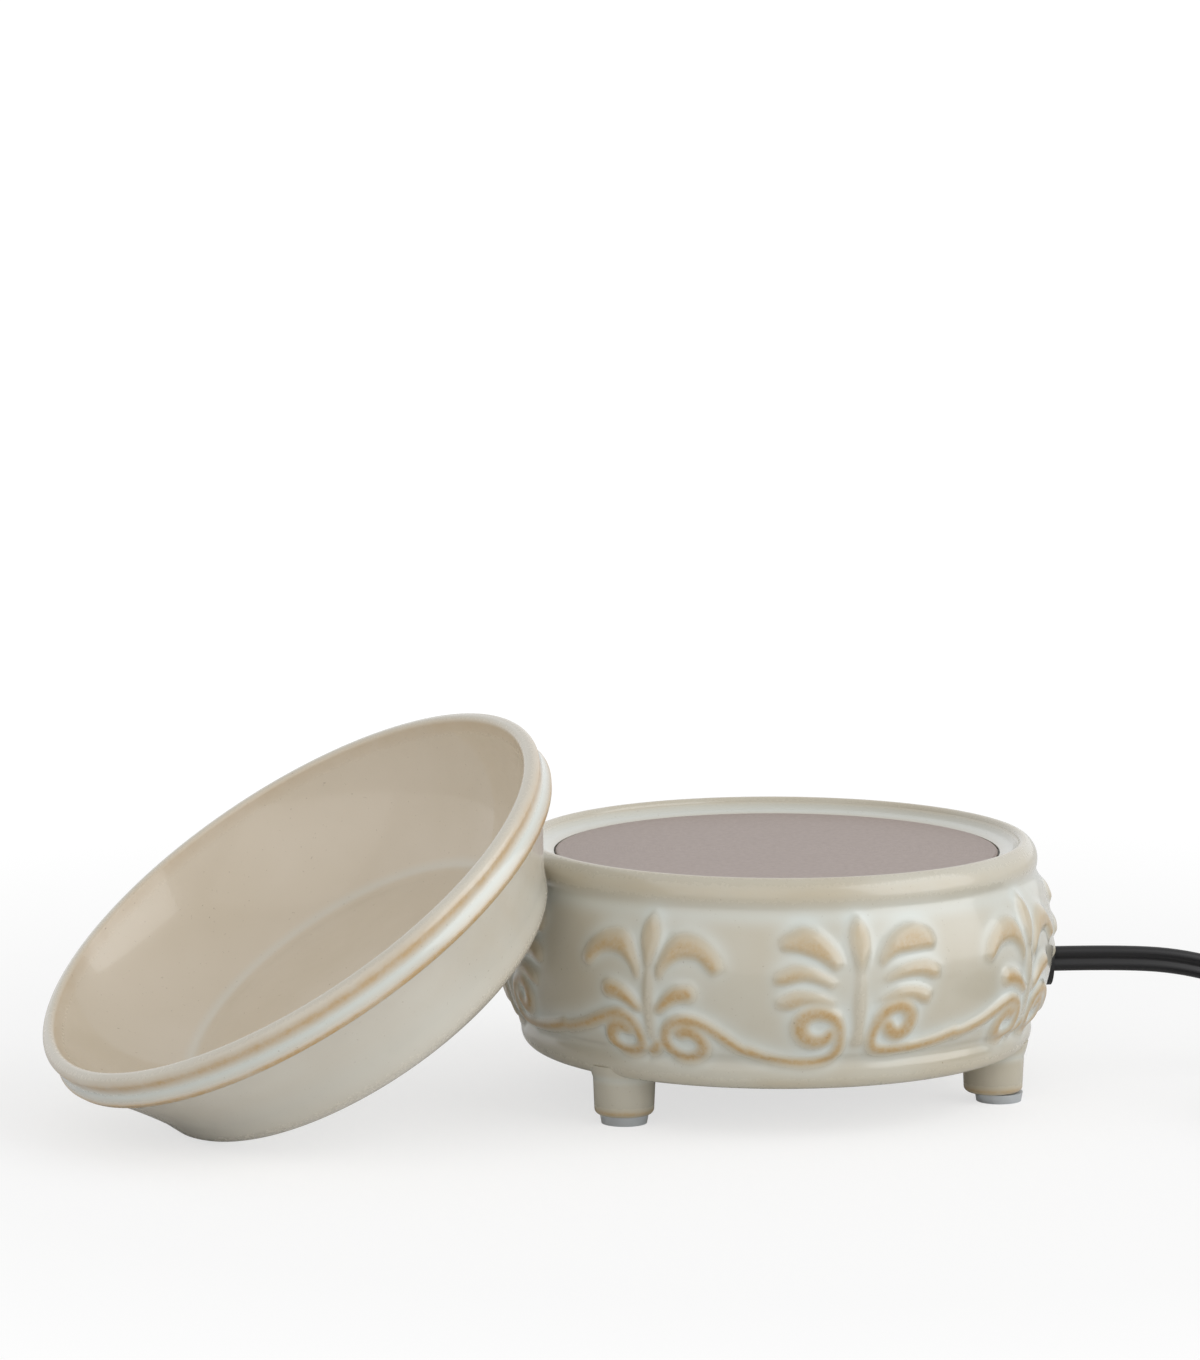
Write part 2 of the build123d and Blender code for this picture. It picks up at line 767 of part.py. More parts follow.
def make_cutoff_clip():
    """Strap under the cutoff, with two ears against the heat shield."""
    middle = tab_b_distance + tab_thickness + cutoff_lead_length + cutoff_length / 2
    inner = cutoff_radius + cutoff_gap
    outer = inner + clip_thickness
    drop = cutoff_radius + cutoff_gap
    hoop = Circle(outer) + Pos(drop / 2, 0) * Rectangle(drop, 2 * outer)
    hole = Circle(inner) + Pos(drop / 2 + over / 2, 0) * Rectangle(drop + over, 2 * inner)
    ears = Pos(drop - clip_thickness / 2, 0) * Rectangle(clip_thickness, 2 * (outer + clip_ear))
    section = (hoop + ears - hole) & (Pos(0, 0) * Rectangle(2 * drop, 4 * (outer + clip_ear))
                                      + Pos(-outer, 0) * Rectangle(2 * outer, 4 * outer))
    return cutoff_frame(middle - clip_width / 2) * extrude(section, clip_width)


# Cord on the table

switch_centre = Vector(*switch_place, 0)
plug_start = Vector(*plug_place, plug_height / 2)
coil_centre = Vector(*coil_place, 0)
coil_low_z = tie_thickness + tie_gap + half_width
coil_high_z = coil_low_z + cord_width + coil_layer_gap
switch_axis_z = switch_height / 2
switch_in = switch_centre + Vector(cord_seat - switch_length / 2, 0, switch_axis_z)
switch_out = switch_centre + Vector(switch_length / 2 - cord_seat, 0, switch_axis_z)
coil_start_radius = coil_inner_radius + coil_turns_in * coil_step
coil_start = coil_centre + Vector(0, -coil_start_radius, coil_low_z)

lead_route = [
    around(outlet_seat + bushing_flange, outlet_angle, outlet_z),
    around(outlet_seat + bushing_flange + 3 * cord_width, outlet_angle, outlet_z),
    *[Vector(*place) for place in lead_places],
    switch_in + Vector(-2 * cord_width, 0, 0),
    switch_in]

run_route = [
    switch_out,
    switch_out + Vector(2 * cord_width, 0, 0),
    *[Vector(*place) for place in run_places],
    coil_start + Vector(3 * cord_width, 0, 0),
    coil_start + Vector(cord_width, 0, 0)]


def bend_radii(points):
    """Each corner's radius: a share of its shorter run, over the tangent of half the turn."""
    radii = []
    for before, here, after in zip(points, points[1:], points[2:]):
        turn = radians((here - before).get_angle(after - here))
        run = min((here - before).length, (after - here).length)
        radii.append(bend_share * run / tan(turn / 2))
    return radii


def make_cord(points, label):
    """Flat twin cord along a route, its wide side upright at the start."""
    radii = bend_radii(points)
    path = FilletPolyline(*points, radius=radii)
    heading = (points[1] - points[0]).normalized()
    side = Vector(0, 0, 1).cross(heading).normalized()
    frame = Plane(points[0], x_dir=heading.cross(side), z_dir=heading)
    section = flat_section(frame)
    cord = sweep(section, path=path)
    expected = section.area * path.length
    print(label, "length", round(path.length, 1), "tightest radius", round(min(radii), 1),
          "volume against section times length", round(cord.volume / expected, 4))
    return cord, path.length


def half_turn(centre, start, z):
    """Two quarter arcs, clockwise from a start point above or below the centre."""
    arm = start - centre
    quarter = Vector(arm.Y, -arm.X, 0)
    diagonal = (arm + quarter) / sqrt(2)
    far = (quarter - arm) / sqrt(2)
    level = Vector(0, 0, z)
    return [ThreePointArc(start + level, centre + diagonal + level, centre + quarter + level),
            ThreePointArc(centre + quarter + level, centre + far + level, centre - arm + level)]


def biarc(start, start_way, end, end_way):
    """Two tangent arcs from one point and direction to another."""
    chord = end - start
    both = start_way + end_way
    spread = 2 * (1 - start_way.dot(end_way))
    reach = (sqrt(chord.dot(both) ** 2 + spread * chord.dot(chord)) - chord.dot(both)) / spread
    middle = (start + start_way * reach + end - end_way * reach) / 2
    first = TangentArc(start, middle, tangent=start_way)
    return [first, TangentArc(middle, end, tangent=first % 1)]


def climbing_half_turn(centre, start, low, high):
    """A half turn that climbs a layer, in two quarter turns of tangent arcs."""
    arm = start - centre
    quarter = Vector(arm.Y, -arm.X, 0)
    middle_z = (low + high) / 2
    slope = (high - low) / (arm.length * pi) * 1.5
    into = quarter.normalized()
    across = (-arm).normalized() + Vector(0, 0, slope)
    out = quarter.normalized() * -1
    first = biarc(start + Vector(0, 0, low), into,
                  centre + quarter + Vector(0, 0, middle_z), across.normalized())
    second = biarc(centre + quarter + Vector(0, 0, middle_z), across.normalized(),
                   centre - arm + Vector(0, 0, high), out)
    return first + second


def coil_edges():
    """The coil's centreline: half turns about two centres, in below and out above.

    Left half turns share one centre and right half turns another, half a step away, so that
    each full turn moves in or out by one step. The innermost left half turn climbs."""
    left = coil_centre
    edges = [Line(coil_start + Vector(cord_width, 0, 0), coil_start)]
    low, high = coil_low_z, coil_high_z
    point = coil_centre + Vector(0, -coil_start_radius, 0)
    right = left + Vector(0, coil_step / 2, 0)
    for turn in range(coil_turns_in):
        edges += half_turn(left, point, low)
        point = left * 2 - point
        inwards = (point + left - Vector(0, (point - left).length - coil_step, 0)) / 2
        edges += half_turn(inwards, point, low)
        point = inwards * 2 - point
    edges += climbing_half_turn(left, point, low, high)
    point = left * 2 - point
    for arc in range(coil_arcs_out - 1):
        if arc % 2 == 0:
            outwards = (point + left - Vector(0, (point - left).length + coil_step, 0)) / 2
            edges += half_turn(outwards, point, high)
            point = outwards * 2 - point
        else:
            edges += half_turn(left, point, high)
            point = left * 2 - point
    outwards = (point + left - Vector(0, (point - left).length + coil_step, 0)) / 2
    edges.append(half_turn(outwards, point, high)[0])
    end = edges[-1] @ 1
    edges.append(Line(end, end + Vector(0, -cord_width, 0)))
    return edges


def least_gap(edges):
    """Least clearance between the coil's flat turns, measured on points of its centreline."""
    points = []
    for edge in edges:
        count = ceil(edge.length / cord_thickness)
        points += [edge @ (k / count) for k in range(count)]
    reach = 2 * pi * coil_inner_radius / 3
    skip = ceil(reach / cord_thickness)
    best = coil_start_radius
    for i, first in enumerate(points):
        for second in points[i + skip:]:
            flat = hypot(first.X - second.X, first.Y - second.Y) - cord_thickness
            level = abs(first.Z - second.Z) - cord_width
            best = min(best, max(flat, level))
    return best


def make_coil():
    """The put-away length, wound flat side to flat side in two layers."""
    edges = coil_edges()
    path = Wire(edges)
    heading = Vector(-1, 0, 0)
    frame = Plane(edges[0] @ 0, x_dir=(0, 0, 1), z_dir=heading)
    section = flat_section(frame)
    coil = sweep(section, path=path)
    print("coil length", round(path.length, 1), "least gap", round(least_gap(edges), 2),
          "volume against section times length",
          round(coil.volume / (section.area * path.length), 4))
    return coil, edges[-1] @ 1, path.length


def make_coil_tie():
    """Band round all the turns, on the coil's front left."""
    inner_low = tie_thickness
    inner_high = coil_high_z + half_width + tie_gap
    near = coil_inner_radius - half_thickness - tie_gap
    far = coil_start_radius + half_thickness + tie_gap
    hole = Pos((near + far) / 2, (inner_low + inner_high) / 2) * Rectangle(
        far - near, inner_high - inner_low)
    band = Pos((near + far) / 2, (inner_low + inner_high) / 2) * RectangleRounded(
        far - near + 2 * tie_thickness, inner_high - inner_low + 2 * tie_thickness,
        2 * tie_thickness)
    band = extrude(band - hole, tie_width / 2, both=True)
    upright = Plane(coil_centre, x_dir=(-1, 0, 0), z_dir=(0, 1, 0))
    return upright * band


# Switch

def switch_block(length, width, end_round, low, high):
    """Round-ended block on the switch's centre."""
    return Pos(0, 0, low) * extrude(RectangleRounded(length, width, end_round), high - low)


def switch_screw_places():
    """The two case screws, across the middle from each other."""
    return [(-case_screw_x, case_screw_y), (case_screw_x, -case_screw_y)]


def make_switch_case(upper):
    """Half of the switch's case, with its wheel slots, cord seats, boss and post."""
    middle = switch_height / 2
    outer = switch_block(switch_length, switch_width, switch_end_round, 0, switch_height)
    rims = outer.edges().filter_by(lambda edge: abs(edge.center().Z - middle) > middle / 2)
    outer = fillet(rims, switch_edge_round)
    hollow = switch_block(switch_length - 2 * switch_wall, switch_width - 2 * switch_wall,
                          switch_end_round - switch_wall, switch_wall,
                          switch_height - switch_wall)
    low, high = (middle, switch_height) if upper else (0, middle)
    half = Pos(0, 0, low) * extrude(Rectangle(2 * switch_length, 2 * switch_width), high - low)
    posts = [post(case_boss_radius, low, high, x, y) for x, y in switch_screw_places()]
    lip = wheel_thickness / 2 + wheel_gap
    if upper:
        posts.append(post(2 * wheel_post_radius, middle + lip, high))
    else:
        posts.append(post(wheel_post_radius, low, middle + wheel_thickness / 2))
        posts.append(post(2 * wheel_post_radius, low, middle - lip - wheel_cam_height))
    case = outer - hollow
    for piece in posts:
        case = case + (piece & outer)
    case = case & half
    slot = Pos(0, 0, middle) * Box(wheel_slot_length, 2 * switch_width, 2 * lip)
    slot = slot - post(wheel_radius, low - over, high + over) - post(
        3 * wheel_post_radius, low - over, high + over)
    seat = extrude(flat_section(Plane((-switch_length, 0, middle), x_dir=(0, 0, 1),
                                      z_dir=(1, 0, 0)), cord_seat_clearance), 2 * switch_length)
    seat = seat - post(wheel_radius, 0, switch_height)
    case = case - slot - seat - (post(wheel_radius + wheel_gap, middle - lip, middle + lip)
                                 - post(3 * wheel_post_radius, 0, switch_height))
    for x, y in switch_screw_places():
        if upper:
            case = case - post(case_screw_radius + wheel_post_clearance, middle - over,
                               middle + case_screw_reach, x, y)
        else:
            case = case - post(case_screw_radius + 2 * wheel_post_clearance, -over,
                               middle + over, x, y)
            case = case - post(case_screw_head_radius + wheel_post_clearance, -over,
                               case_screw_head_height + switch_wall, x, y)
    return Pos(*switch_centre) * case


def make_switch_wheel():
    """Fluted thumbwheel with its cam below."""
    middle = switch_height / 2
    low, high = middle - wheel_thickness / 2, middle + wheel_thickness / 2
    wheel = post(wheel_radius, low, high)
    for k in range(wheel_flutes):
        x, y = tuple(around(wheel_radius, k * 360 / wheel_flutes))[:2]
        wheel = wheel - post(wheel_flute_radius, low - over, high + over, x, y)
    cam = post(wheel_cam_radius, low - wheel_cam_height, low)
    flats = Pos(0, 0, low) * Box(2 * wheel_cam_radius, 2 * wheel_cam_flat, 4 * wheel_cam_height)
    bore = post(wheel_post_radius + wheel_post_clearance, low - 2 * wheel_cam_height, high + over)
    return Pos(*switch_centre) * (wheel + (cam & flats) - bore)


def make_switch_contacts():
    """Two brass leaves that stand on the case's floor beside the cam."""
    leaves = []
    for side in (-1, 1):
        leaf = Box(contact_length, contact_thickness, contact_height)
        foot_strip = Box(contact_length, 4 * contact_thickness, contact_thickness)
        place = Pos(0, side * contact_offset, switch_wall + contact_height / 2)
        sill = Pos(0, side * (contact_offset - 1.5 * contact_thickness),
                   switch_wall + contact_thickness / 2)
        leaves.append(Pos(*switch_centre) * (place * leaf + sill * foot_strip))
    return group(leaves)


def make_switch_screws():
    """Two case screws, from below."""
    screws = []
    head_top = case_screw_head_height + switch_wall
    for x, y in switch_screw_places():
        head = post(case_screw_head_radius, switch_wall, head_top, x, y)
        shank = post(case_screw_radius, head_top, switch_height / 2 + case_screw_reach / 2, x, y)
        slot = Pos(x, y, switch_wall) * Box(2 * case_screw_head_radius, case_screw_radius / 2,
                                            case_screw_head_height)
        screws.append(Pos(*switch_centre) * (head + shank - slot))
    return group(screws)


# Plug

def plug_frame(distance=0):
    """Frame on the plug's axis: z points to the blades, x lies across the pair of blades."""
    return Plane(plug_start + Vector(0, -distance, 0), x_dir=(1, 0, 0), z_dir=(0, -1, 0))


def plug_sections():
    """Distance, width, height and corner of each section of the moulding."""
    shoulder = plug_relief_length + plug_shoulder_length
    end = plug_relief_length + plug_body_length
    across, up = plug_shoulder_shares
    return [(0, plug_relief_width, plug_relief_height, plug_corner),
            (plug_relief_length, plug_width * across, plug_height * up, plug_corner),
            (shoulder, plug_width, plug_height, plug_corner),
            (end, plug_width, plug_height, plug_corner)]


def make_plug_body():
    """Moulded body with its tapering strain relief and the blades' pockets."""
    faces = [plug_frame(far) * RectangleRounded(wide, high, corner)
             for far, wide, high, corner in plug_sections()]
    body = loft(faces, ruled=True)
    mouth = extrude(plug_frame(-over) * SlotOverall(cord_width + 2 * cord_seat_clearance,
                                                     cord_thickness + 2 * cord_seat_clearance,
                                                     rotation=90), cord_seat + over)
    end = plug_relief_length + plug_body_length
    for side, blade in zip((-1, 1), blade_widths):
        pocket = Pos(side * blade_spacing / 2, 0) * Rectangle(
            blade_thickness + 2 * wheel_post_clearance, blade + 2 * wheel_post_clearance)
        body = body - plug_frame(end - blade_depth) * extrude(pocket, blade_depth + over)
    return body - mouth


def make_plug_blades():
    """The two flat blades, one wider than the other, each with its hole."""
    blades = []
    end = plug_relief_length + plug_body_length
    length = blade_depth + blade_length
    for side, width in zip((-1, 1), blade_widths):
        blade = extrude(Pos(side * blade_spacing / 2, 0) * Rectangle(blade_thickness, width),
                        length)
        tips = blade.edges().filter_by(Axis.X).group_by(Axis.Z)[-1]
        blade = chamfer(tips, blade_tip_chamfer)
        hole = Pos(0, 0, length - blade_hole_from_tip) * Rot(0, 90, 0) * extrude(
            Circle(blade_hole_radius), blade_spacing, both=True)
        blades.append(plug_frame(end - blade_depth) * (blade - hole))
    return group(blades)


# Wax dish

def dish_point(shares):
    """Radius and height of a pair of shares of the dish."""
    return (shares[0] * dish_radius, shares[1] * dish_height)


def dish_steps(step_shares):
    """Steps of a profile: a pair of numbers is a point, and a pair of pairs an arc."""
    return [tuple(dish_point(pair) for pair in step) if isinstance(step[0], tuple)
            else dish_point(step) for step in step_shares]


def make_upright_dish():
    """The dish standing on its own foot."""
    foot_radius_out, foot_z = dish_point(dish_foot_shares)
    foot_radius_in = foot_radius_out - dish_foot_width
    bowl = dish_steps(dish_bowl_shares)
    floor_z = bowl[-1][-1][1]
    return turned(
        (foot_radius_in, foot_z),
        (foot_radius_out, foot_z),
        *dish_steps(dish_outline_shares),
        *bowl,
        (0, floor_z),
        (0, dish_foot_recess),
        (foot_radius_in - dish_foot_recess, dish_foot_recess))


def dish_points():
    """Points of the dish's outer profile, radius and height, its arcs included."""
    here = dish_point(dish_foot_shares)
    points = [here]
    for step in dish_steps(dish_outline_shares):
        if isinstance(step[0], tuple):
            arc = ThreePointArc(*[(r, 0, z) for r, z in (here, step[0], step[1])])
            points += [((arc @ share).X, (arc @ share).Z)
                       for share in (k / 12 for k in range(1, 13))]
            here = step[1]
        else:
            points.append(step)
            here = step
    return points


def body_points():
    """Points of the body's outer profile near the dish, radius and height."""
    belly = ThreePointArc((belly_start_radius + frieze_relief, 0, belly_start_z),
                          (belly_radius + frieze_relief, 0, belly_z),
                          (neck_radius + frieze_relief / 2, 0, neck_z))
    rim = ThreePointArc((neck_radius, 0, neck_z),
                        (rim_radius, 0, neck_z + rim_bulge_share * rim_height),
                        (crest_radius, 0, rim_z))
    return [((arc @ (k / 24)).X, (arc @ (k / 24)).Z) for arc in (belly, rim) for k in range(25)]


def dish_frame():
    """Where the dish leans: its foot on the table, its wall a hair from the body.

    The foot's centre rises until the profile's lowest point is on the table. Then the dish
    comes in along its bearing, by halving the way, until the least distance is the gap."""
    tilt, facing = radians(dish_tilt), radians(dish_facing)
    axis = Vector(sin(tilt) * sin(facing), -sin(tilt) * cos(facing), cos(tilt))
    side = Vector(cos(facing), sin(facing), 0)
    downhill = side.cross(axis) * -1
    if downhill.Z > 0:
        downhill = downhill * -1
    outline = dish_points()
    lift = max(-(h * axis.Z + r * downhill.Z) for r, h in outline) + dish_floor_gap
    spots = [axis * h + (downhill * cos(t) + side * sin(t)) * r
             for r, h in outline for t in (radians(150 + k * 1.5) for k in range(41))]
    body = body_points()

    def gap(distance):
        foot_centre = around(distance, dish_bearing, lift)
        best = distance
        for spot in spots:
            place = foot_centre + spot
            reach = hypot(place.X, place.Y)
            away, radius = min((hypot(reach - r, place.Z - z), r) for r, z in body)
            within = reach < radius and place.Z < rim_z
            best = min(best, -away if within else away)
        return best

    near, far = flange_radius + dish_radius / 3, 3 * dish_radius
    for _ in range(14):
        middle = (near + far) / 2
        if gap(middle) > dish_rest_gap:
            far = middle
        else:
            near = middle
    return Plane(around(far, dish_bearing, lift), x_dir=side, z_dir=axis)


def tail_route(coil_end):
    """From the coil over the incoming run to the plug's mouth."""
    return [
        coil_end,
        coil_end + Vector(0, -2 * cord_width, 0),
        *[Vector(*place) for place in tail_places],
        plug_start + Vector(0, 2 * cord_width, 0),
        plug_start + Vector(0, -cord_seat, 0)]


def main():
    """Builds and writes every sub-part."""
    os.makedirs("parts", exist_ok=True)
    write("housing", make_housing())
    for name in foot_angles:
        write("foot_pad_" + name, make_foot_pad(name))
    write("heating_plate", make_heating_plate())
    write("plate_gasket", make_plate_gasket())
    write("mica_upper", make_mica_sheet(plate_low_z - mica_thickness))
    write("mica_lower", make_mica_sheet(heater_low_z))
    write("heating_ribbon", make_heating_ribbon())
    write("heater_terminals", make_heater_terminals())
    write("heater_clamp", pierced_disc(clamp_radius, clamp_low_z, heater_low_z))
    write("insulation_pad", pierced_disc(insulation_radius, insulation_low_z, clamp_low_z))
    write("heat_shield", make_heat_shield())
    write("clamp_nut", make_clamp_nut())
    write("centre_pillar", make_centre_pillar())
    write("base_cover", make_base_cover())
    write("cover_screw", make_cover_screw())
    write("cord_bushing", make_cord_bushing())
    write("cord_stop", make_cord_stop())
    write("cord_inlet", make_cord_inlet())
    write("crimp_splices", make_crimp_splices())
    write("lead_wires", make_lead_wires())
    write("thermal_cutoff", make_thermal_cutoff())
    write("cutoff_clip", make_cutoff_clip())
    lead, lead_length = make_cord(lead_route, "lead")
    write("cord_lead", lead)
    run, run_length = make_cord(run_route, "run")
    write("cord_run", run)
    coil, coil_end, coil_length = make_coil()
    write("cord_coil", coil)
    print("coil ends at", [round(v, 2) for v in coil_end])
    tail, tail_length = make_cord(tail_route(coil_end), "tail")
    write("cord_tail", tail)
    print("second cord length", round(run_length + coil_length + tail_length, 1))
    write("coil_tie", make_coil_tie())
    write("switch_upper_case", make_switch_case(True))
    write("switch_lower_case", make_switch_case(False))
    write("switch_wheel", make_switch_wheel())
    write("switch_contacts", make_switch_contacts())
    write("switch_screws", make_switch_screws())
    write("plug_body", make_plug_body())
    write("plug_blades", make_plug_blades())
    frame = dish_frame()
    print("dish foot centre", [round(v, 2) for v in frame.origin])
    write("wax_dish", frame * make_upright_dish())


main()
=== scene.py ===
# %% [markdown]
# # A ceramic candle warmer with its wax dish
#
# A glazed stoneware warmer: a squat body on three feet, with a heating plate sunk in its top and a
# palmette frieze round its wall. A shallow dish for scented wax leans against it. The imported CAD
# model gives every piece its place and size, and this notebook gives each its surface. Lengths
# are in metres, +Z is up, and the front of the warmer faces -Y.

import json
from math import ceil, cos, pi, radians, sin

import bpy
import numpy as np
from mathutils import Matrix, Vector

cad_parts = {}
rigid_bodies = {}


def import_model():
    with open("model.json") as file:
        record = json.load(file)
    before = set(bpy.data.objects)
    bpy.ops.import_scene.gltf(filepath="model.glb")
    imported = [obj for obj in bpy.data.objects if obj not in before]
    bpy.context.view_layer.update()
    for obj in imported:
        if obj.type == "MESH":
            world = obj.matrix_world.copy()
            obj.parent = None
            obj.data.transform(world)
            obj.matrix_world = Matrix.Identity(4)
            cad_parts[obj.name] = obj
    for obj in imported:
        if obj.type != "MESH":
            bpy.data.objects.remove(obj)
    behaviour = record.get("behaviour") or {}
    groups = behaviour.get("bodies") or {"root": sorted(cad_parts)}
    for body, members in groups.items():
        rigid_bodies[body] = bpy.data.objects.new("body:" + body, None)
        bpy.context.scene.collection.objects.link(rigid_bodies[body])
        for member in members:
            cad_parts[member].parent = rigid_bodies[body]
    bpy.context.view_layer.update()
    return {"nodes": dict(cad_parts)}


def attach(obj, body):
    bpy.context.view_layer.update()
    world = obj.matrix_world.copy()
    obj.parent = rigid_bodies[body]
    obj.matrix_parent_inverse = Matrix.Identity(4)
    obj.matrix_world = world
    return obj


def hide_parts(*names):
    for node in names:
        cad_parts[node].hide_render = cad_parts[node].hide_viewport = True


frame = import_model()
nodes = frame["nodes"]
mm = 0.001

# %% [markdown]
# ## The camera
#
# The photograph was taken from far away with a long lens, a little above the rim: the ellipses of
# the rim and the foot flange have nearly the same shape. Solving for those ellipses gives a focal
# length of 6500 pixels for a picture 1360 pixels high, a height of 294 mm above the table, a
# distance of 1.42 m, a downward tilt of 8.1 degrees and a small turn to the left.

# %% Camera
picture_height = 1360
focal_pixels = 6500
film_height = 36.0
camera_distance = 1.41869
camera_height = 0.2938
tilt_down = 8.104
turn_left = 1.577
sight = 50


def put_in_scene(name, data):
    """An object that shows the data, linked to the scene."""
    made = bpy.data.objects.new(name, data)
    bpy.context.scene.collection.objects.link(made)
    return made


camera_data = bpy.data.cameras.new("camera")
camera_data.sensor_fit = "VERTICAL"
camera_data.sensor_height = film_height
camera_data.lens = film_height * focal_pixels / picture_height
camera_data.clip_end = sight
camera = put_in_scene("camera", camera_data)
camera.location = (0, -camera_distance, camera_height)
camera.rotation_euler = (radians(90 - tilt_down), 0, radians(turn_left))
bpy.context.scene.camera = camera
print("camera: lens", round(camera_data.lens, 1), "mm")

# %% [markdown]
# ## The cord
#
# The cord is a flat twin lead: two round jackets side by side, joined by a thin web. A real one
# holds its flat sides where the coil winds it, so its wide side stays upright along the whole
# route. A mesh could be swept along it, but one curve object does the same with less: a smooth
# NURBS line drawn by the same points as the CAD route, with the twin outline as its bevel profile
# and its twist kept to the vertical. The points lie as a cord falls: straight out of the wall,
# down to the table, through the switch and on to the coil.

# %% Cord route
cord_width = 5.6 * mm
cord_thickness = 2.8 * mm


def around(radius, angle, z):
    """A point at an angle from the front towards +X: (r sin a, -r cos a, z)."""
    return np.array([radius * sin(radians(angle)), -radius * cos(radians(angle)), z])


outlet_radius = 61.7 * mm
outlet_angle = 99
outlet_height = 28 * mm
outlet_face = around(outlet_radius, outlet_angle, outlet_height)
switch_centre = np.array([169.0, 24.0, 7.8]) * mm
half_switch = 22.0 * mm
switch_in = switch_centre - [half_switch, 0, 0]
switch_out = switch_centre + [half_switch, 0, 0]
plug_start = np.array([184.5, -110.0, 7.5]) * mm
held_in_plug = 5.0 * mm
coil_centre = np.array([143.0, -30.0]) * mm
coil_radius = 25.0 * mm
coil_step = 3.4 * mm
coil_low, coil_high = 3.85 * mm, 9.9 * mm

lead_points = np.vstack([
    outlet_face,
    around(outlet_radius + 3 * cord_width, outlet_angle, outlet_height),
    np.array([(92.5, 14.9, 26.4), (107.5, 17.8, 21.4), (121, 21.6, 12.4)]) * mm,
    switch_in - [2 * cord_width, 0, 0],
    switch_in])

run_points = np.vstack([
    switch_out,
    switch_out + [2 * cord_width, 0, 0],
    np.array([(216.7, 20.1, 5.2), (228.7, 11.1, 3.4), (236.4, -1.8, 2.8), (238.8, -16.6, 2.8),
              (235.2, -31.2, 2.8), (226.4, -43.3, 2.8), (213.9, -51.7, 2.8), (197, -57.4, 2.9),
              (177.5, -62.8, 3.2)]) * mm])
tail_points = np.vstack([
    np.array([(178.5, -61.5, 11.0), (180.8, -76, 10.6), (183, -90, 8.6)]) * mm,
    plug_start + [0, 2 * cord_width, 0],
    plug_start - [0, held_in_plug, 0]])
print("cord route:", len(run_points), "points to the coil,", len(tail_points), "from it to the plug")

# %% [markdown]
# The coil's turns come from one formula. Half turns on the left share one centre and half turns on
# the right share another, half a step away, so the winding moves in by one step each turn below
# and out by one step each turn above. On the innermost left half turn it climbs to the upper layer.

# %% Coil turns
points_per_half = 8
half_turns = 12
climbing_half = 6


def coil_points():
    """Control points of the coil, for each half turn: centre + r (sin t, cos t), t from 0 to pi.

    The sign of the arm changes from half to half. A quadratic spline runs inside its control
    points, at (1 + cos^2 of half a step) / 2 of their radius, so the radius is divided by that."""
    half = np.repeat(np.arange(half_turns), points_per_half)
    share = np.tile((np.arange(points_per_half) + 0.5) / points_per_half, half_turns)
    side = np.where(half % 2 == 0, -1.0, 1.0)
    radius = coil_radius + 0.5 * coil_step * np.abs(half - climbing_half)
    lift = 0.5 * coil_step * np.where(half % 2 == 0, 0, np.sign(climbing_half - half))
    swell = 2 / (1 + cos(pi / points_per_half / 2) ** 2)
    ease = share * share * (3 - 2 * share)
    level = np.where(half < climbing_half, 0, np.where(half > climbing_half, 1, ease))
    points = np.stack([coil_centre[0] + side * radius * swell * np.sin(pi * share),
                       coil_centre[1] + lift + side * radius * swell * np.cos(pi * share),
                       coil_low + (coil_high - coil_low) * level], axis=1)
    last_quarter = (half == half_turns - 1) & (share > 0.5)
    return points[~last_quarter]


first_radius = coil_radius + 0.5 * coil_step * climbing_half
last_radius = coil_radius + 0.5 * coil_step * (half_turns - 1 - climbing_half)
coil_start = np.array([*(coil_centre - [0, first_radius]), coil_low])
coil_end = np.array([*(coil_centre + [last_radius, -0.5 * coil_step]), coil_high])
second_points = np.vstack([
    run_points,
    coil_start + [3 * cord_width, 0, 0],
    coil_start + [cord_width, 0, 0],
    coil_points(),
    coil_end - [0, cord_width, 0],
    coil_end - [0, 3 * cord_width, 0],
    tail_points])
print("cord:", len(lead_points), "points to the switch,", len(second_points), "on to the plug")
print("coil:", half_turns // 2, "turns,", round(2 * first_radius / mm), "mm wide at its middle line")

# %% [markdown]
# The profile is a formula too. Half the cord's thickness at a distance u from its middle is the
# larger of a circle about each core and the web between them, which leaves the groove that shows
# along a real twin lead.

# %% Cord outline
cord_web = 1.5 * mm
outline_points = 25


def flat_profile(name, width, thickness, web):
    """Closed outline v = max(sqrt(r^2 - (|u| - c)^2), web), u along the wide side."""
    r = thickness / 2
    c = width / 2 - r
    t = np.linspace(0, pi, outline_points)
    u = width / 2 * np.cos(t)
    v = np.sqrt(np.maximum(r * r - (np.abs(u) - c) ** 2, 0))
    v = np.maximum(v, np.where(np.abs(u) < c, web / 2, 0))
    outline = np.vstack([np.stack([v, u], 1), np.stack([-v, u], 1)[-2:0:-1]])
    data = bpy.data.curves.new(name, "CURVE")
    data.dimensions = "2D"
    data.fill_mode = "NONE"
    spline = data.splines.new("POLY")
    spline.points.add(len(outline) - 1)
    spline.points.foreach_set("co", np.column_stack([outline / mm, np.zeros(len(outline)),
                                                     np.ones(len(outline))]).ravel())
    spline.use_cyclic_u = True
    made = put_in_scene(name, data)
    made.hide_render = True
    return made


cord_outline = flat_profile("cord_profile", cord_width, cord_thickness, cord_web)
print("cord outline:", len(cord_outline.data.splines[0].points), "points")

# %% [markdown]
# Two curves take the place of the CAD's four stretches and ride with the body.

# %% Cord curves
steps_between_points = 6


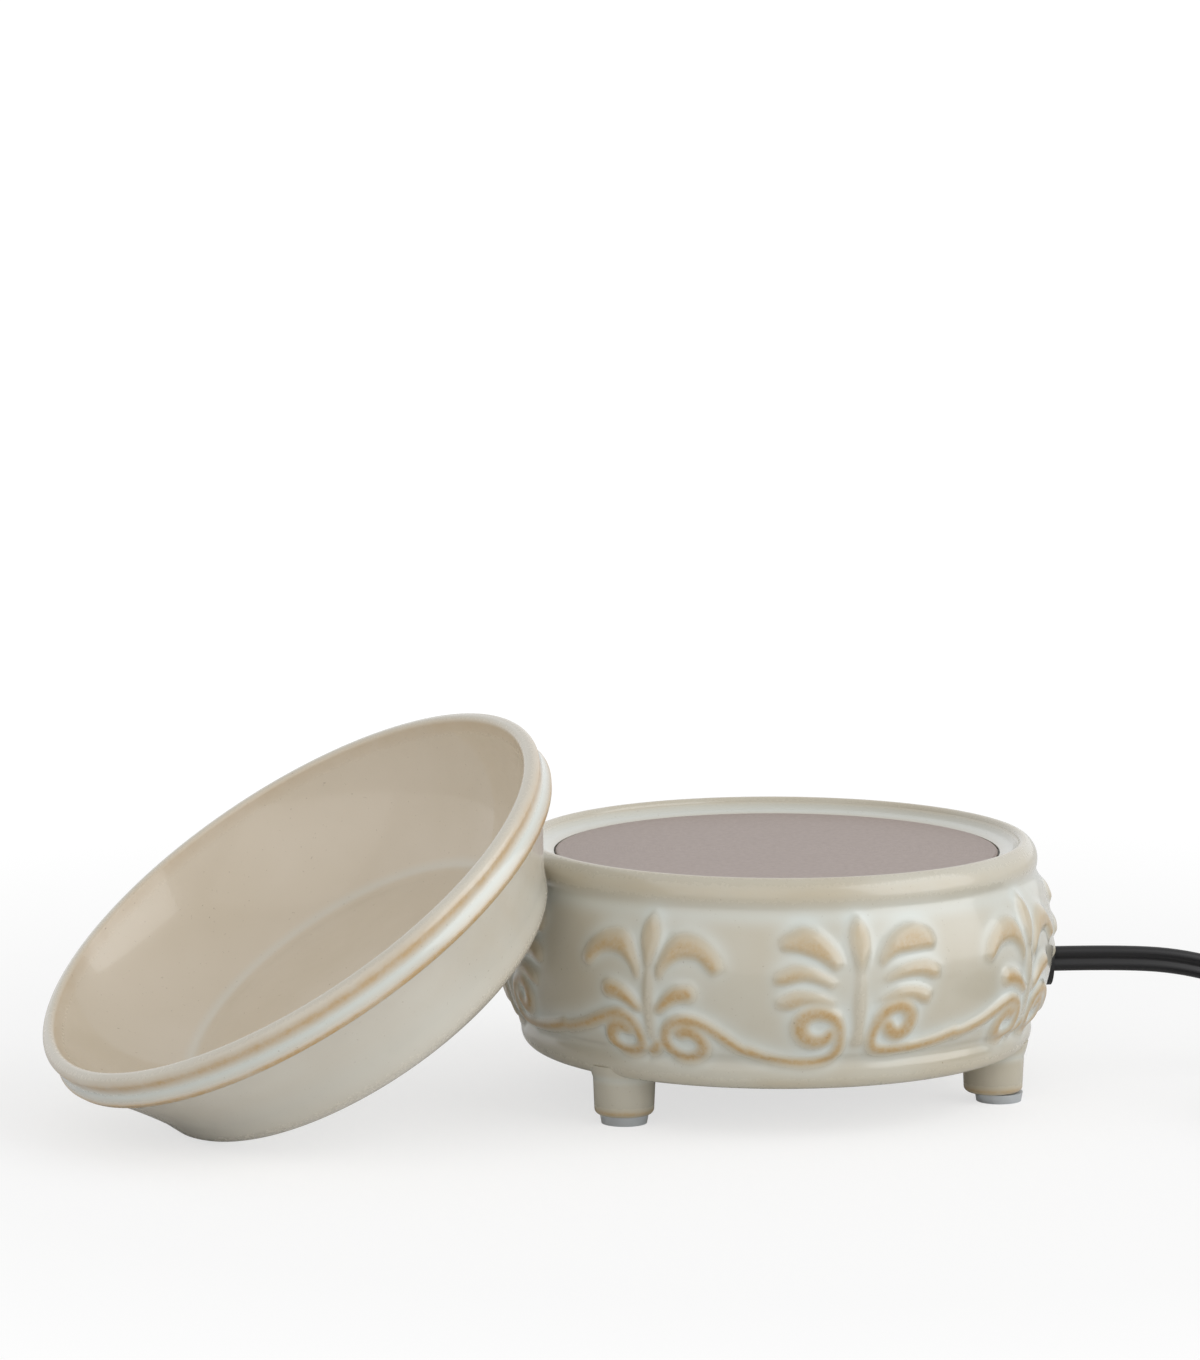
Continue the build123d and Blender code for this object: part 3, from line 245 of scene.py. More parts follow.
def cord_curve(name, points, outline):
    """A NURBS line of order 3 through its end points, with the outline carried along it.

    The outline is drawn in millimetres, and each point's radius turns it into metres. With a
    radius of 1 Blender would count a metre round the line as part of the cord's box."""
    data = bpy.data.curves.new(name, "CURVE")
    data.dimensions = "3D"
    data.twist_mode = "Z_UP"
    data.resolution_u = steps_between_points
    spline = data.splines.new("NURBS")
    spline.points.add(len(points) - 1)
    spline.points.foreach_set("co", np.column_stack([points, np.ones(len(points))]).ravel())
    spline.points.foreach_set("radius", np.full(len(points), mm))
    spline.order_u = 3
    spline.use_endpoint_u = True
    data.bevel_mode = "OBJECT"
    data.bevel_object = outline
    return put_in_scene(name, data)


first_cord = cord_curve("cord_to_switch", lead_points, cord_outline)
second_cord = cord_curve("cord_to_plug", second_points, cord_outline)
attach(first_cord, "warmer")
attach(second_cord, "warmer")
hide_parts("cord_lead")
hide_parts("cord_run", "cord_coil", "cord_tail")
print("cords:", first_cord.name, "and", second_cord.name)

# %% [markdown]
# ## Surfaces from profiles
#
# Nearly every piece here was thrown, turned or pressed round an axis, so its shape is one profile
# turned round. The profile is written as on a drawing: a start, then lines to a point and arcs
# through a point. Sampling it evenly gives rows, turning it gives columns, and the faces between
# them are worked out as whole arrays. Blender's Spin or Screw would do the same from an edge, but
# then the glaze could not be given a value at each point of the profile, as it is below. Every
# arc has at least a fixed number of pieces, so that the tightest edge still shades as round.

# %% Profiles
least_arc_pieces = 16


def arc(start, middle, end, spacing):
    """Points along the circle arc through three points, without its start.

    The centre is where the three are equally far: the circumcentre formula. The angles from it
    are unwrapped, so that the arc runs from the start through the middle to the end."""
    (ax, ay), (bx, by), (cx, cy) = start, middle, end
    a2, b2, c2 = ax * ax + ay * ay, bx * bx + by * by, cx * cx + cy * cy
    d = 2 * (ax * (by - cy) + bx * (cy - ay) + cx * (ay - by))
    x0 = (a2 * (by - cy) + b2 * (cy - ay) + c2 * (ay - by)) / d
    y0 = (a2 * (cx - bx) + b2 * (ax - cx) + c2 * (bx - ax)) / d
    turns = np.unwrap(np.arctan2([ay - y0, by - y0, cy - y0], [ax - x0, bx - x0, cx - x0]))
    radius = np.hypot(ax - x0, ay - y0)
    count = max(least_arc_pieces, ceil(abs(turns[2] - turns[0]) * radius / spacing))
    t = np.linspace(turns[0], turns[2], count + 1)[1:]
    return np.stack([x0 + radius * np.cos(t), y0 + radius * np.sin(t)], 1)


def line(start, end, spacing):
    """Evenly spaced points of a straight step, without its start."""
    count = max(1, ceil(np.hypot(end[0] - start[0], end[1] - start[1]) / spacing))
    share = np.linspace(0, 1, count + 1)[1:, None]
    return np.asarray(start) * (1 - share) + np.asarray(end) * share


def profile(start, steps, spacing):
    """Sampled profile. A step of one point is a line, a step of two points is an arc."""
    parts, here = [np.array([start], float)], start
    for step in steps:
        if isinstance(step[0], tuple):
            parts.append(arc(here, *step, spacing))
            here = step[1]
        else:
            parts.append(line(here, step, spacing))
            here = step
    return np.vstack(parts)


tight_edge = arc((1, 0), (sin(pi / 4), sin(pi / 4)), (0, 1), 1)
print("a quarter round of 1 mm is drawn with", len(tight_edge), "pieces")

# %% Meshes from grids
pole_width = 1e-7
crease_angle = radians(50)


def grid_mesh(name, points, loop_rows=False, marks=None):
    """Mesh from points[row, column], closed round the columns and, if asked, round the rows.

    A row whose columns all meet in one place becomes a single vertex, so a pole is closed, and a
    quad with two corners there becomes a triangle. The faces are turned over if the signed
    volume, a sum of triple products, is negative. The marks are values kept at each point."""
    rows, columns = points.shape[:2]
    index = np.arange(rows * columns).reshape(rows, columns)
    pole = np.ptp(points, axis=1).max(axis=1) < pole_width
    index[pole] = index[pole][:, :1]
    low, high = (index, np.roll(index, -1, axis=0)) if loop_rows else (index[:-1], index[1:])
    quads = np.stack([low, np.roll(low, -1, 1), np.roll(high, -1, 1), high], -1).reshape(-1, 4)
    corners = points.reshape(-1, 3)
    p = corners[quads]
    volume = np.einsum("ij,ij->i", p[:, 0], np.cross(p[:, 1], p[:, 2])
                       + np.cross(p[:, 2], p[:, 3])).sum()
    if volume < 0:
        quads = quads[:, ::-1]
    used = np.unique(quads)
    where = np.zeros(rows * columns, int)
    where[used] = np.arange(len(used))
    quads = where[quads]
    kept_corners = {(0, 1): [1, 2, 3], (2, 3): [0, 1, 2], (0, 3): [0, 1, 2], (1, 2): [0, 1, 3]}
    merged = {pair: quads[:, pair[0]] == quads[:, pair[1]] for pair in kept_corners}
    whole = quads[~np.any(list(merged.values()), axis=0)]
    triangles = np.vstack([quads[merged[pair]][:, kept] for pair, kept in kept_corners.items()])
    mesh = bpy.data.meshes.new(name)
    mesh.from_pydata(corners[used].tolist(), [], whole.tolist() + triangles.tolist())
    mesh.polygons.foreach_set("use_smooth", np.ones(len(mesh.polygons), bool))
    mesh.set_sharp_from_angle(angle=crease_angle)
    for mark, values in (marks or {}).items():
        spread = np.broadcast_to(values, (rows, columns)).ravel()[used]
        mesh.attributes.new(mark, "FLOAT", "POINT").data.foreach_set(
            "value", np.ascontiguousarray(spread, np.float32))
    print(name, "has", len(mesh.polygons), "faces")
    return put_in_scene(name, mesh)


def turned_points(outline, columns, centre=(0, 0, 0), across=(1, 0, 0), along=(0, 0, 1)):
    """Turns an outline of (radius, height) round an axis: centre + r (u cos t + v sin t) + h n."""
    n, u = np.array(along, float), np.array(across, float)
    v = np.cross(n, u)
    t = np.arange(columns) * 2 * pi / columns
    ring = np.cos(t)[:, None] * u + np.sin(t)[:, None] * v
    return np.array(centre) + outline[:, 0, None, None] * ring + outline[:, 1, None, None] * n


one_row = turned_points(np.array([[1.0, 0.0]]), 8)
print("one row turned into eight columns of points:", one_row.shape)

# %% Soft steps and bands
def near(value, centre, spread):
    """Bell curve round a centre: exp(-((value - centre) / spread)^2)."""
    return np.exp(-((value - centre) / spread) ** 2)


def bands(value, table):
    """Sum of bell curves, each with its strength, centre and spread."""
    return sum(strength * near(value, centre, spread) for strength, centre, spread in table)


def rise(value, start, end):
    """Smooth step from 0 at the start to 1 at the end: t^2 (3 - 2 t)."""
    t = np.clip((value - start) / (end - start), 0, 1)
    return t * t * (3 - 2 * t)


print("halfway up a step:", rise(0.5, 0, 1), "and one spread from a band:", round(near(1, 0, 1), 3))

# %% [markdown]
# ## The palmette frieze
#
# The wall carries a running frieze in low relief: an upright palmette and a more open one take
# turns round the body, four of each, and scrolls join them. On the real one it is carved in the
# master and cast with the body, then the glaze rounds it off. It could be sculpted, or drawn as
# curves and laid on the wall. Here it is a height map worked out from the drawing itself: each
# scroll is a line with a width, each leaf lies between an upper and a lower edge, and a point's
# height follows from how far inside these it is. The drawing is in millimetres, across from
# the motif's middle and up from the table.

# %% The drawing of the frieze
petal = [(-0.9, 37.5), (-1.6, 40), (-2.4, 42.5), (-2.5, 45), (-1.9, 47.5), (-0.3, 49.3), (1.0, 48.9),
         (2.4, 47), (3.0, 44.5), (2.8, 42), (1.8, 39.5), (0.8, 37.5)]
stem = [(-0.8, 38), (-1.1, 35), (-1.8, 30), (-1.9, 25), (-1.9, 21), (1.9, 21), (2.0, 25),
        (1.8, 30), (1.3, 35), (0.8, 38)]
upright_leaves = [
    ([(-17.4, 44.1), (-16.2, 45.5), (-12.2, 47.2), (-8.2, 45.5), (-4.9, 42), (-3.9, 39.5)],
     [(-16.9, 42.6), (-13.2, 42), (-9.2, 40.5), (-6.4, 38.7), (-5.1, 38)]),
    ([(-18.2, 37.6), (-14.4, 39.4), (-10.2, 38.6), (-7.2, 36.8), (-5.4, 35)],
     [(-18.4, 35.4), (-16.2, 35.3), (-12.2, 36), (-9.2, 35.4), (-5.9, 34.2)]),
    ([(-17.9, 31.7), (-14.4, 34), (-10.2, 33.6), (-7.2, 32.1), (-5.3, 30.9)],
     [(-17.8, 30.2), (-15.2, 29.8), (-12.2, 30.8), (-9.2, 31.1), (-5.7, 30.3)]),
    ([(4.9, 40.4), (6.8, 44), (9.8, 46.3), (13.8, 47), (17.3, 45.5), (18.4, 43)],
     [(5.1, 38.7), (6.6, 40), (9, 41.1), (12, 41.3), (17.8, 41.7)]),
    ([(5.8, 35.7), (8.3, 37.6), (11.8, 39.1), (15.8, 39.3), (18.9, 37.5)],
     [(6.0, 35.1), (9.8, 35.9), (13.8, 36), (16.8, 35.2), (19.0, 35.4)]),
    ([(4.3, 31.0), (7.3, 33), (10.3, 33.9), (13.8, 33.6), (16.8, 31.9)],
     [(4.3, 30.5), (7.8, 31.4), (11.3, 31.3), (14.3, 30.1), (16.5, 29.8)])]
upright_scrolls = [
    ([(-6.4, 24.2), (-7.4, 22.9), (-9.7, 22.4), (-11.9, 23.4), (-13.0, 25.4), (-12.4, 27.6),
      (-10.4, 28.8), (-7.9, 28.7), (-5.6, 27.6), (-4.4, 25.5), (-4.1, 23), (-4.3, 20.8),
      (-5.6, 18.8), (-8.2, 17.8), (-12.2, 17.5), (-17.2, 18.0), (-21.2, 18.9), (-24.5, 20.2)],
     [1.1, 1.4, 1.6, 1.8, 1.9, 1.9, 1.8, 1.6, 1.4, 1.2, 1.1, 1.1, 1.1, 1.0, 0.9, 0.9, 1.0, 1.0]),
    ([(6.6, 25.5), (7.4, 24.2), (9.2, 23.4), (11.1, 24.4), (12.0, 26.5), (11.2, 28.7), (9.3, 29.7),
      (6.6, 29.0), (4.5, 26.9), (3.4, 24.2), (3.2, 21.8), (4.2, 20.2), (6.8, 19.6), (10.8, 19.7),
      (14.8, 20.0), (19.8, 20.8), (24.8, 22.0)],
     [1.5, 1.7, 1.8, 1.8, 1.7, 1.6, 1.6, 1.5, 1.3, 1.1, 1.0, 1.2, 1.2, 1.1, 1.0, 1.0, 1.0])]
open_leaves = [
    ([(-2.2, 38), (-4.2, 43), (-7.6, 45.2), (-12, 44.4), (-15.8, 41.4), (-17.2, 38)],
     [(-2.5, 35.0), (-4.4, 38), (-7, 39.9), (-9.6, 40.3), (-12.4, 39.5), (-15.4, 36.8)]),
    ([(2.0, 38), (4.0, 43), (7.5, 45.3), (12, 44.6), (15.7, 41.6), (17.2, 38.3)],
     [(2.5, 35.0), (4.5, 38), (7, 39.8), (9.5, 40.2), (12, 39.6), (14.8, 36.8)])]
open_scrolls = [
    ([(2.5, 28.6), (5, 31), (7, 32.2), (9.2, 32.5)], [0.7, 1.3, 1.7, 1.8]),
    ([(-2.5, 28.6), (-5, 30.6), (-7.5, 31.9), (-9.6, 32.2)], [0.7, 1.3, 1.7, 1.8]),
    ([(7, 23.6), (9, 24.2), (11.2, 23), (12.3, 20.8), (11, 18.9), (8.2, 18.0), (5.3, 18.8),
      (3.6, 20.8), (3.7, 23.5), (5.4, 25.7), (8.5, 26.7), (12, 26), (15, 24.3), (18, 22.2),
      (20.8, 20.4), (24.5, 19.0)],
     [1.4, 1.6, 1.6, 1.6, 1.4, 1.3, 1.4, 1.4, 1.3, 1.3, 1.3, 1.2, 1.2, 1.1, 1.0, 0.9]),
    ([(-5.7, 23.7), (-8, 24.3), (-10, 23), (-10.6, 20.7), (-9, 18.9), (-6, 18.3), (-3.2, 19.5),
      (-2.8, 22), (-4, 25.3), (-7, 26.9), (-10, 26.4), (-14, 24.8), (-18, 23.2), (-24.5, 21.6)],
     [1.4, 1.6, 1.6, 1.5, 1.3, 1.3, 1.2, 1.2, 1.2, 1.3, 1.2, 1.1, 1.0, 0.9]),
    ([(-0.9, 18.6), (0.6, 19.6), (1.4, 20.8)], [0.9, 1.2, 0.8])]
print("frieze:", len(upright_leaves) + len(open_leaves), "leaves and",
      len(upright_scrolls) + len(open_scrolls), "lines drawn")


# %% [markdown]
# Three tools read the drawing: one rounds a line through its points, one measures how far each
# point of the wall is from it, and one tells inside from outside. The last two work on the whole
# wall at once and loop only over the few pieces of the line.

# %% Lines and distances
far_away = 99.0
never_zero = 1e-12


def smooth_line(points, values=None, pieces=5):
    """Curve through the points: Catmull-Rom, a cubic from each pair and the two beside it."""
    p = np.column_stack([np.array(points, float),
                         np.ones(len(points)) if values is None else np.array(values, float)])
    p = np.vstack([2 * p[0] - p[1], p, 2 * p[-1] - p[-2]])
    t = (np.arange(pieces) / pieces)[:, None, None]
    a, b, c, d = p[:-3], p[1:-2], p[2:-1], p[3:]
    curve = 0.5 * (2 * b + (c - a) * t + (2 * a - 5 * b + 4 * c - d) * t ** 2
                   + (3 * b - a - 3 * c + d) * t ** 3)
    return np.vstack([curve.transpose(1, 0, 2).reshape(-1, 3), p[-2]])


def segment_fields(x, z, curve):
    """Distance to the nearest segment of a curve, and that distance over the width there."""
    distance, ratio = np.full(x.shape, far_away), np.full(x.shape, far_away)
    for start, end in zip(curve[:-1], curve[1:]):
        dx, dz, dw = end - start
        t = np.clip(((x - start[0]) * dx + (z - start[1]) * dz) / (dx * dx + dz * dz), 0, 1)
        d = np.hypot(x - start[0] - t * dx, z - start[1] - t * dz)
        distance = np.minimum(distance, d)
        ratio = np.minimum(ratio, d / (start[2] + t * dw))
    return distance, ratio


def inside(x, z, curve):
    """True inside a closed curve: a level ray crosses its edges an odd number of times."""
    odd = np.zeros(x.shape, bool)
    for start, end in zip(curve, np.roll(curve, -1, axis=0)):
        crosses = (start[1] > z) != (end[1] > z)
        at = start[0] + (z - start[1]) * (end[0] - start[0]) / (end[1] - start[1] + never_zero)
        odd ^= crosses & (x < at)
    return odd


print("petal:", len(smooth_line(petal)), "points from", len(petal), "drawn")

# %% [markdown]
# A leaf and a scroll have an edge on each side, and the step over an edge starts a little outside
# the line and ends inside it. Each pair below gives where it starts and ends, in millimetres
# inwards, but scroll_tan in shares of the scroll's half width, outwards. For the heights, the
# outer one is a share of how far the glaze spreads the relief. The tan follows the drawn lines
# more closely than the relief does, as it does under a real glaze. On a leaf it is palest near the
# upper edge and deepest lower down: glaze break, with a painted highlight on the leaf's upper part
# and painted shade on its lower side.

# %% Leaves, scrolls and pads
scroll_roundness = 0.9
scroll_tan = (0.4, 1.15)
lower_step, upper_step = (-0.8, 0.9), (-1.8, 1.7)
# From the upper edge down, a leaf's tan goes from its palest to its deepest: a painted highlight
# near the top and painted shade lower down, over the glaze break.
lower_tan, upper_tan, lit_top_to_shaded_low = (-0.25, 0.35), (-0.3, 0.5), (0.3, 2.4)
lit_top_leaf_tan, shaded_low_leaf_tan = 0.38, 0.78
pad_step, pad_tan = (-0.7, 1.6), (0.2, 1.7)


def scroll_fields(x, z, drawn, spread):
    """A scroll's height and colour. q is the distance over half the width.

    The height is 1 - q^2 to the power of the roundness, with the width spread by the glaze. The
    colour falls off near the drawn width."""
    centre_line = smooth_line(*drawn)
    _, q = segment_fields(x, z, centre_line)
    _, q_wide = segment_fields(x, z, centre_line + [0, 0, spread])
    return np.clip(1 - q_wide * q_wide, 0, 1) ** scroll_roundness, 1 - rise(q, *scroll_tan)


def leaf_fields(x, z, drawn, spread):
    """A leaf's height and colour: steep from its lower edge, gentle from its upper edge.

    Each edge's distance is positive on the leaf's side. Outside, it is negative for the nearer
    edge. The height is the product of two smooth steps of them, and so is the colour."""
    upper, lower = (smooth_line(edge) for edge in drawn)
    within = inside(x, z, np.vstack([upper, lower[::-1]]))
    to_lower, _ = segment_fields(x, z, lower)
    to_upper, _ = segment_fields(x, z, upper)
    below = ~within & (to_lower < to_upper)
    above = ~within & ~below
    low = np.where(below, -to_lower, to_lower)
    high = np.where(above, -to_upper, to_upper)
    height = (rise(low, lower_step[0] * spread, lower_step[1])
              * rise(high, upper_step[0] * spread, upper_step[1]))
    # Painted light: the tan is paler near the upper edge as a painted highlight, and deeper lower
    # down as painted shade.
    tan_with_painted_shade = lit_top_leaf_tan + (shaded_low_leaf_tan - lit_top_leaf_tan) * rise(high, *lit_top_to_shaded_low)
    return height, rise(low, *lower_tan) * rise(high, *upper_tan) * tan_with_painted_shade


def pad_fields(x, z, outline, spread):
    """A domed pad's height and colour: a smooth step over its closed outline."""
    closed = smooth_line(outline + outline[:1])
    distance, _ = segment_fields(x, z, closed)
    depth = np.where(inside(x, z, closed), distance, -distance)
    return rise(depth, pad_step[0] * spread, pad_step[1]), rise(depth, *pad_tan)


# %% A whole motif
glaze_spread = 0.75
stalk_height = 0.75
bud_tan, stalk_tan = 0.5, 0.12


def motif_fields(x, z, leaves, scrolls, spread=glaze_spread):
    """Highest of a motif's leaves, scrolls, petal and stem at each point, and its colour."""
    layers = [leaf_fields(x, z, drawn, spread) for drawn in leaves]
    layers += [scroll_fields(x, z, drawn, spread) for drawn in scrolls]
    height, tint = (np.max(part, axis=0) for part in zip(*layers))
    bud, bud_tint = pad_fields(x, z, petal, spread)
    stalk, stalk_tint = pad_fields(x, z, stem, spread)
    height = np.max([height, bud, stalk_height * stalk], axis=0)
    return height, np.max([tint, bud_tan * bud_tint, stalk_tan * stalk_tint], axis=0)


def blurred(field, passes):
    """Neighbours' average, repeated: weights 1, 2, 1 down the rows and round the columns."""
    for _ in range(passes):
        field = (np.roll(field, 1, 1) + 2 * field + np.roll(field, -1, 1)) / 4
        padded = np.vstack([field[:1], field, field[-1:]])
        field = (padded[:-2] + 2 * padded[1:-1] + padded[2:]) / 4
    return field


on_stem = np.full((1, 1), 24.0)
stem_height, _ = motif_fields(np.zeros((1, 1)), on_stem, open_leaves, open_scrolls)
print("low on the open motif's stem: height", round(float(stem_height.max()), 2))

# %% [markdown]
# ## The body
#
# Two surfaces make the body. Its outside, from the rounded foot flange over the wall to the rolled
# rim, is one skin with a point about every 0.45 mm, because it carries the frieze. Everything else,
# from the plate's recess to the hollow inside, is a plain closed turned form under that skin.
# One grid fine enough for both would waste most of its faces on plain ceramic.
#
# Two values are kept at each point for the glaze: how bare a crest is, where the glaze ran thin,
# and how deep it pooled in a groove. The first follows the drawing's tan, and both compare the
# height with its own blurred copy, as a wiped stain on a carving would. The body's sizes are in
# millimetres and its angles in degrees.

# %% Body sizes
underside, rim_top, neck, waist = 11.0, 57.3, 50.4, 16.2
belly_start, belly_middle = (57.3, 18.8), (61.3, 34.92)
relief = 1.15
upright_middle, open_middle = 17.0, -26.5
motif_turn = 90
motif_reach = 26
drawing_radius = 61.5
wall_columns, wall_rows = 860, 114
wall_sampling = 0.1
corner_softening = 110

outside_outline = profile((53.0, underside), [
    ((55.55, 12.05), (56.6, 14.6)), (56.6, waist), ((56.0, 17.4), belly_start),
    (belly_middle, (57.1, neck)), ((57.5, 53.99), (54.8, rim_top)), ((53.82, 56.94), (53.4, 56.1))],
    wall_sampling)


def wall_line(outline, rows, soften):
    """Rows evenly far apart along an outline, with its corners softened as glaze softens them.

    The softening is the same 1, 2, 1 average as elsewhere, and leaves both ends in place."""
    first, last = outline[:1], outline[-1:]
    for _ in range(soften):
        outline = np.vstack([first, (outline[:-2] + 2 * outline[1:-1] + outline[2:]) / 4, last])
    along = np.concatenate([[0], np.hypot(*np.diff(outline, axis=0).T).cumsum()])
    at = np.linspace(0, along[-1], rows)
    return np.stack([np.interp(at, along, outline[:, part]) for part in (0, 1)], 1)


wall_profile = wall_line(outside_outline, wall_rows, corner_softening)
print("body:", round(2 * wall_profile[:, 0].max(), 1), "mm across,", rim_top, "mm high")

# %% [markdown]
# The motifs are laid round the wall by turning. A point's angle from the nearest motif's middle is
# a distance along the wall, and the drawing gives the height there, up to motif_reach from that
# middle. Round the cord's outlet the relief fades out, as the wall is a flat seat for the grommet.

# %% The relief round the wall
outlet_wall = 61.0
seat_fade = (6.2, 9.0)
relief_blur = 3
angle, height = np.meshgrid(np.arange(wall_columns) * 360 / wall_columns, wall_profile[:, 1])
radius = np.repeat(wall_profile[:, :1], wall_columns, axis=1)
raised, tinted = np.zeros(angle.shape), np.zeros(angle.shape)
for middle, leaves, scrolls in ((upright_middle, upright_leaves, upright_scrolls),
                                (open_middle, open_leaves, open_scrolls)):
    turn = (angle - middle + motif_turn / 2) % motif_turn - motif_turn / 2
    across = np.radians(turn) * drawing_radius
    here = np.abs(across) < motif_reach
    high, tint = motif_fields(across, height, leaves, scrolls)
    raised, tinted = np.maximum(raised, high * here), np.maximum(tinted, tint * here)
outlet_across = np.radians(angle - outlet_angle) * outlet_wall
outlet_away = np.hypot(outlet_across, height - outlet_height / mm)
clear = rise(outlet_away, *seat_fade)
raised = blurred(raised * clear, relief_blur)
print("relief:", round(100 * float((raised > 0.5).mean())), "percent of the wall stands proud")

# %% [markdown]
# The glaze's two values follow from the relief. The tan of the drawing marks the crests, a little
# more where they stand above their surroundings. Glaze pools in what lies below them, and thinly
# all over the ground near the motifs. The blurs are counts of passes. Rings round the body are
# bands with a strength, a middle and a spread: bare on the rim's edge, on the shoulder under it
# and on the flange, and pooled under the rim and above the waist.

# %% Glaze marks of the wall
tan_blur, close_blur, wide_blur = 2, 30, 120
crest_gain, groove_gain, ground_gain = 0.2, 2.0, 0.35
rim_edge_tan, rim_edge_spread = [(0.30, 54.6, 0.8)], 1.0
shoulder_tan, shoulder_foot = [(0.26, 54.0, 1.8)], 51
flange_tan = [(0.22, 12.4, 1.6)]
wall_pools = [(0.55, neck - 1.2, 2.0), (0.15, waist + 1.5, 1.5)]
around_it = blurred(raised, close_blur)
# The leaves' tan brings their painted highlight and painted shade into the bare mark too.
crest = np.clip(blurred(tinted * clear, tan_blur) + crest_gain * (raised - around_it), 0, 1)
pool = np.clip(groove_gain * (np.roll(around_it, 1, 0) - raised)
               + ground_gain * blurred(raised, wide_blur), 0, 1)
rings = (bands(radius, rim_edge_tan) * near(height, rim_top, rim_edge_spread)
         + bands(height, shoulder_tan) * (height > shoulder_foot) + bands(height, flange_tan))
crest = np.maximum(crest, rings)
pool = np.clip(pool * (1 - crest) + bands(height, wall_pools), 0, 1)
print("glaze: mean bareness", round(float(crest.mean()), 2),
      "and mean depth", round(float(pool.mean()), 2))

# %% [markdown]
# The relief is added to the radius. On the seat, a straight wall's distance from the axis is its
# nearest distance over the cosine of the angle to it. The skin's two ends are tucked under the
# rest of the body, so that no gap shows between them.

# %% The wall's mesh
seat_radius, seat_reach = 60.5, 5.6
tuck_up, tuck_in = 0.5, 0.4
radius = np.where(outlet_away < seat_reach,
                  seat_radius / np.cos(np.radians(angle - outlet_angle)), radius + relief * raised)
t = np.radians(angle)
wall_points = np.stack([radius * np.sin(t), -radius * np.cos(t), height], -1)
inwards = np.stack([-np.sin(t[0]), np.cos(t[0]), 0 * t[0]], -1)
low_tuck = wall_points[:1] + [0, 0, tuck_up] + tuck_in * inwards
high_tuck = wall_points[-1:] - [0, 0, tuck_up]
wall_points = np.concatenate([low_tuck, wall_points, high_tuck]) * mm
with_tuck = [0, *range(len(crest)), len(crest) - 1]
body_wall = grid_mesh("body_wall", wall_points,
                      marks={"bare": crest[with_tuck], "pooled": pool[with_tuck]})

# %% [markdown]
# The rest of the body is one closed profile: up the outside a little under the skin, over the rim
# into the recess for the plate, through the opening below it, down the wall of the hollow, and
# over the floor's edge and the seat of the bottom cover back to the start. Glaze pools in the ring
# between the rim and the recess, and runs thin on the rim's inner edge.

# %% The rest of the body
core_sampling = 0.5
core_columns = 256
recess_shoulder = 53
core_outline = profile((41.2, underside), [
    (53.0, underside), ((54.9, 12.5), (55.8, 14.6)), (55.8, waist), ((55.2, 17.4), (56.5, 18.8)),
    ((60.5, 34.9), (56.3, neck)), ((56.7, 53.99), (54.2, 56.5)), (53.4, 56.1), (52.2, 54.8),
    (49.3, 53.95), (49.3, 52.0), (44.4, 52.0), (44.4, 48.6), (50.4, 45.2),
    ((56.0, 34.9), (52.3, 17.8)), (49.9, 15.4), (38.0, 15.4), (38.0, 12.6), (41.2, 12.6),
    (41.2, underside)], core_sampling)[:-1]
r, z = core_outline[:, 0], core_outline[:, 1]
core_bare = bands(z, [(0.3, 56.1, 0.5)]) * near(r, 53.4, 0.6)
core_pool = bands(r, [(0.75, 51.4, 1.8)]) * (z > recess_shoulder)
body_core = grid_mesh("body_core", turned_points(core_outline * mm, core_columns), loop_rows=True,
                      marks={"bare": core_bare[:, None], "pooled": core_pool[:, None]})

# %% [markdown]
# The feet are stubs pressed out of the same mould. Each tapers to a soft edge and flares a little
# where it meets the body. The glaze is wiped thin on their lower edge, above the pads, and pools
# under the flare. They could be blended into the body with a Boolean and a Remesh, but the flare
# already gives the soft join that shows, so each is a turned stub whose top is sunk in the
# flange. Its glaze bands count only on its side, from the two radii named for that.

# %% Feet
foot_sole, foot_top = 2.0, 13.4
foot_sampling = 0.35
foot_columns = 96
bare_from, pooled_from = 4, 5
foot_circle = 49 * mm
foot_angles = {"left": -42, "right": 78, "back": 198}
foot_outline = profile((0, foot_sole), [
    (5.2, foot_sole), ((6.119, 2.381), (6.5, 3.3)), (6.8, 10.1), ((7.1, 11.0), (7.7, foot_top)),
    (0, foot_top)], foot_sampling)
r, z = foot_outline[:, 0], foot_outline[:, 1]
foot_bare = bands(z, [(0.8, 2.9, 0.9)]) * (r > bare_from)
foot_pool = bands(z, [(0.5, 10.4, 1.0)]) * (r > pooled_from)
body_pieces = [body_wall, body_core]
for side, foot_angle in foot_angles.items():
    body_pieces.append(grid_mesh(
        "foot_" + side,
        turned_points(foot_outline * mm, foot_columns, around(foot_circle, foot_angle, 0)),
        marks={"bare": foot_bare[:, None], "pooled": foot_pool[:, None]}))
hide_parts("housing")
for piece in body_pieces:
    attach(piece, "warmer")

# %% [markdown]
# ## The wax dish
#
# The dish is turned too: a foot ring, a wall that flares from a tight heel, a grooved band under
# the lip, and a bowl that runs down to a flat floor. It leans on the body, so its axis is tilted.
# It could be turned upright and the object tilted, but a finished piece stays unturned here, so
# the profile is turned round the tilted axis where it stands. Its outline is in shares of its
# radius and height, the same shares as in the CAD model.

# %% Dish
dish_radius, dish_height = 62.4, 31.8
tilt, facing = radians(34.4), radians(-62)
dish_axis = np.array([sin(tilt) * sin(facing), -sin(tilt) * cos(facing), cos(tilt)])
dish_side = np.array([cos(facing), sin(facing), 0])
dish_foot = np.array([-89.70, -34.43, 25.32]) * mm
ring_width, ring_recess = 38.7, 0.9
dish_sampling = 1.6


def dish_step(shares):
    """A point, or the two of an arc, in millimetres from shares of the dish's own sizes."""
    if isinstance(shares[0], tuple):
        return tuple(dish_step(point) for point in shares)
    return (shares[0] * dish_radius, shares[1] * dish_height)


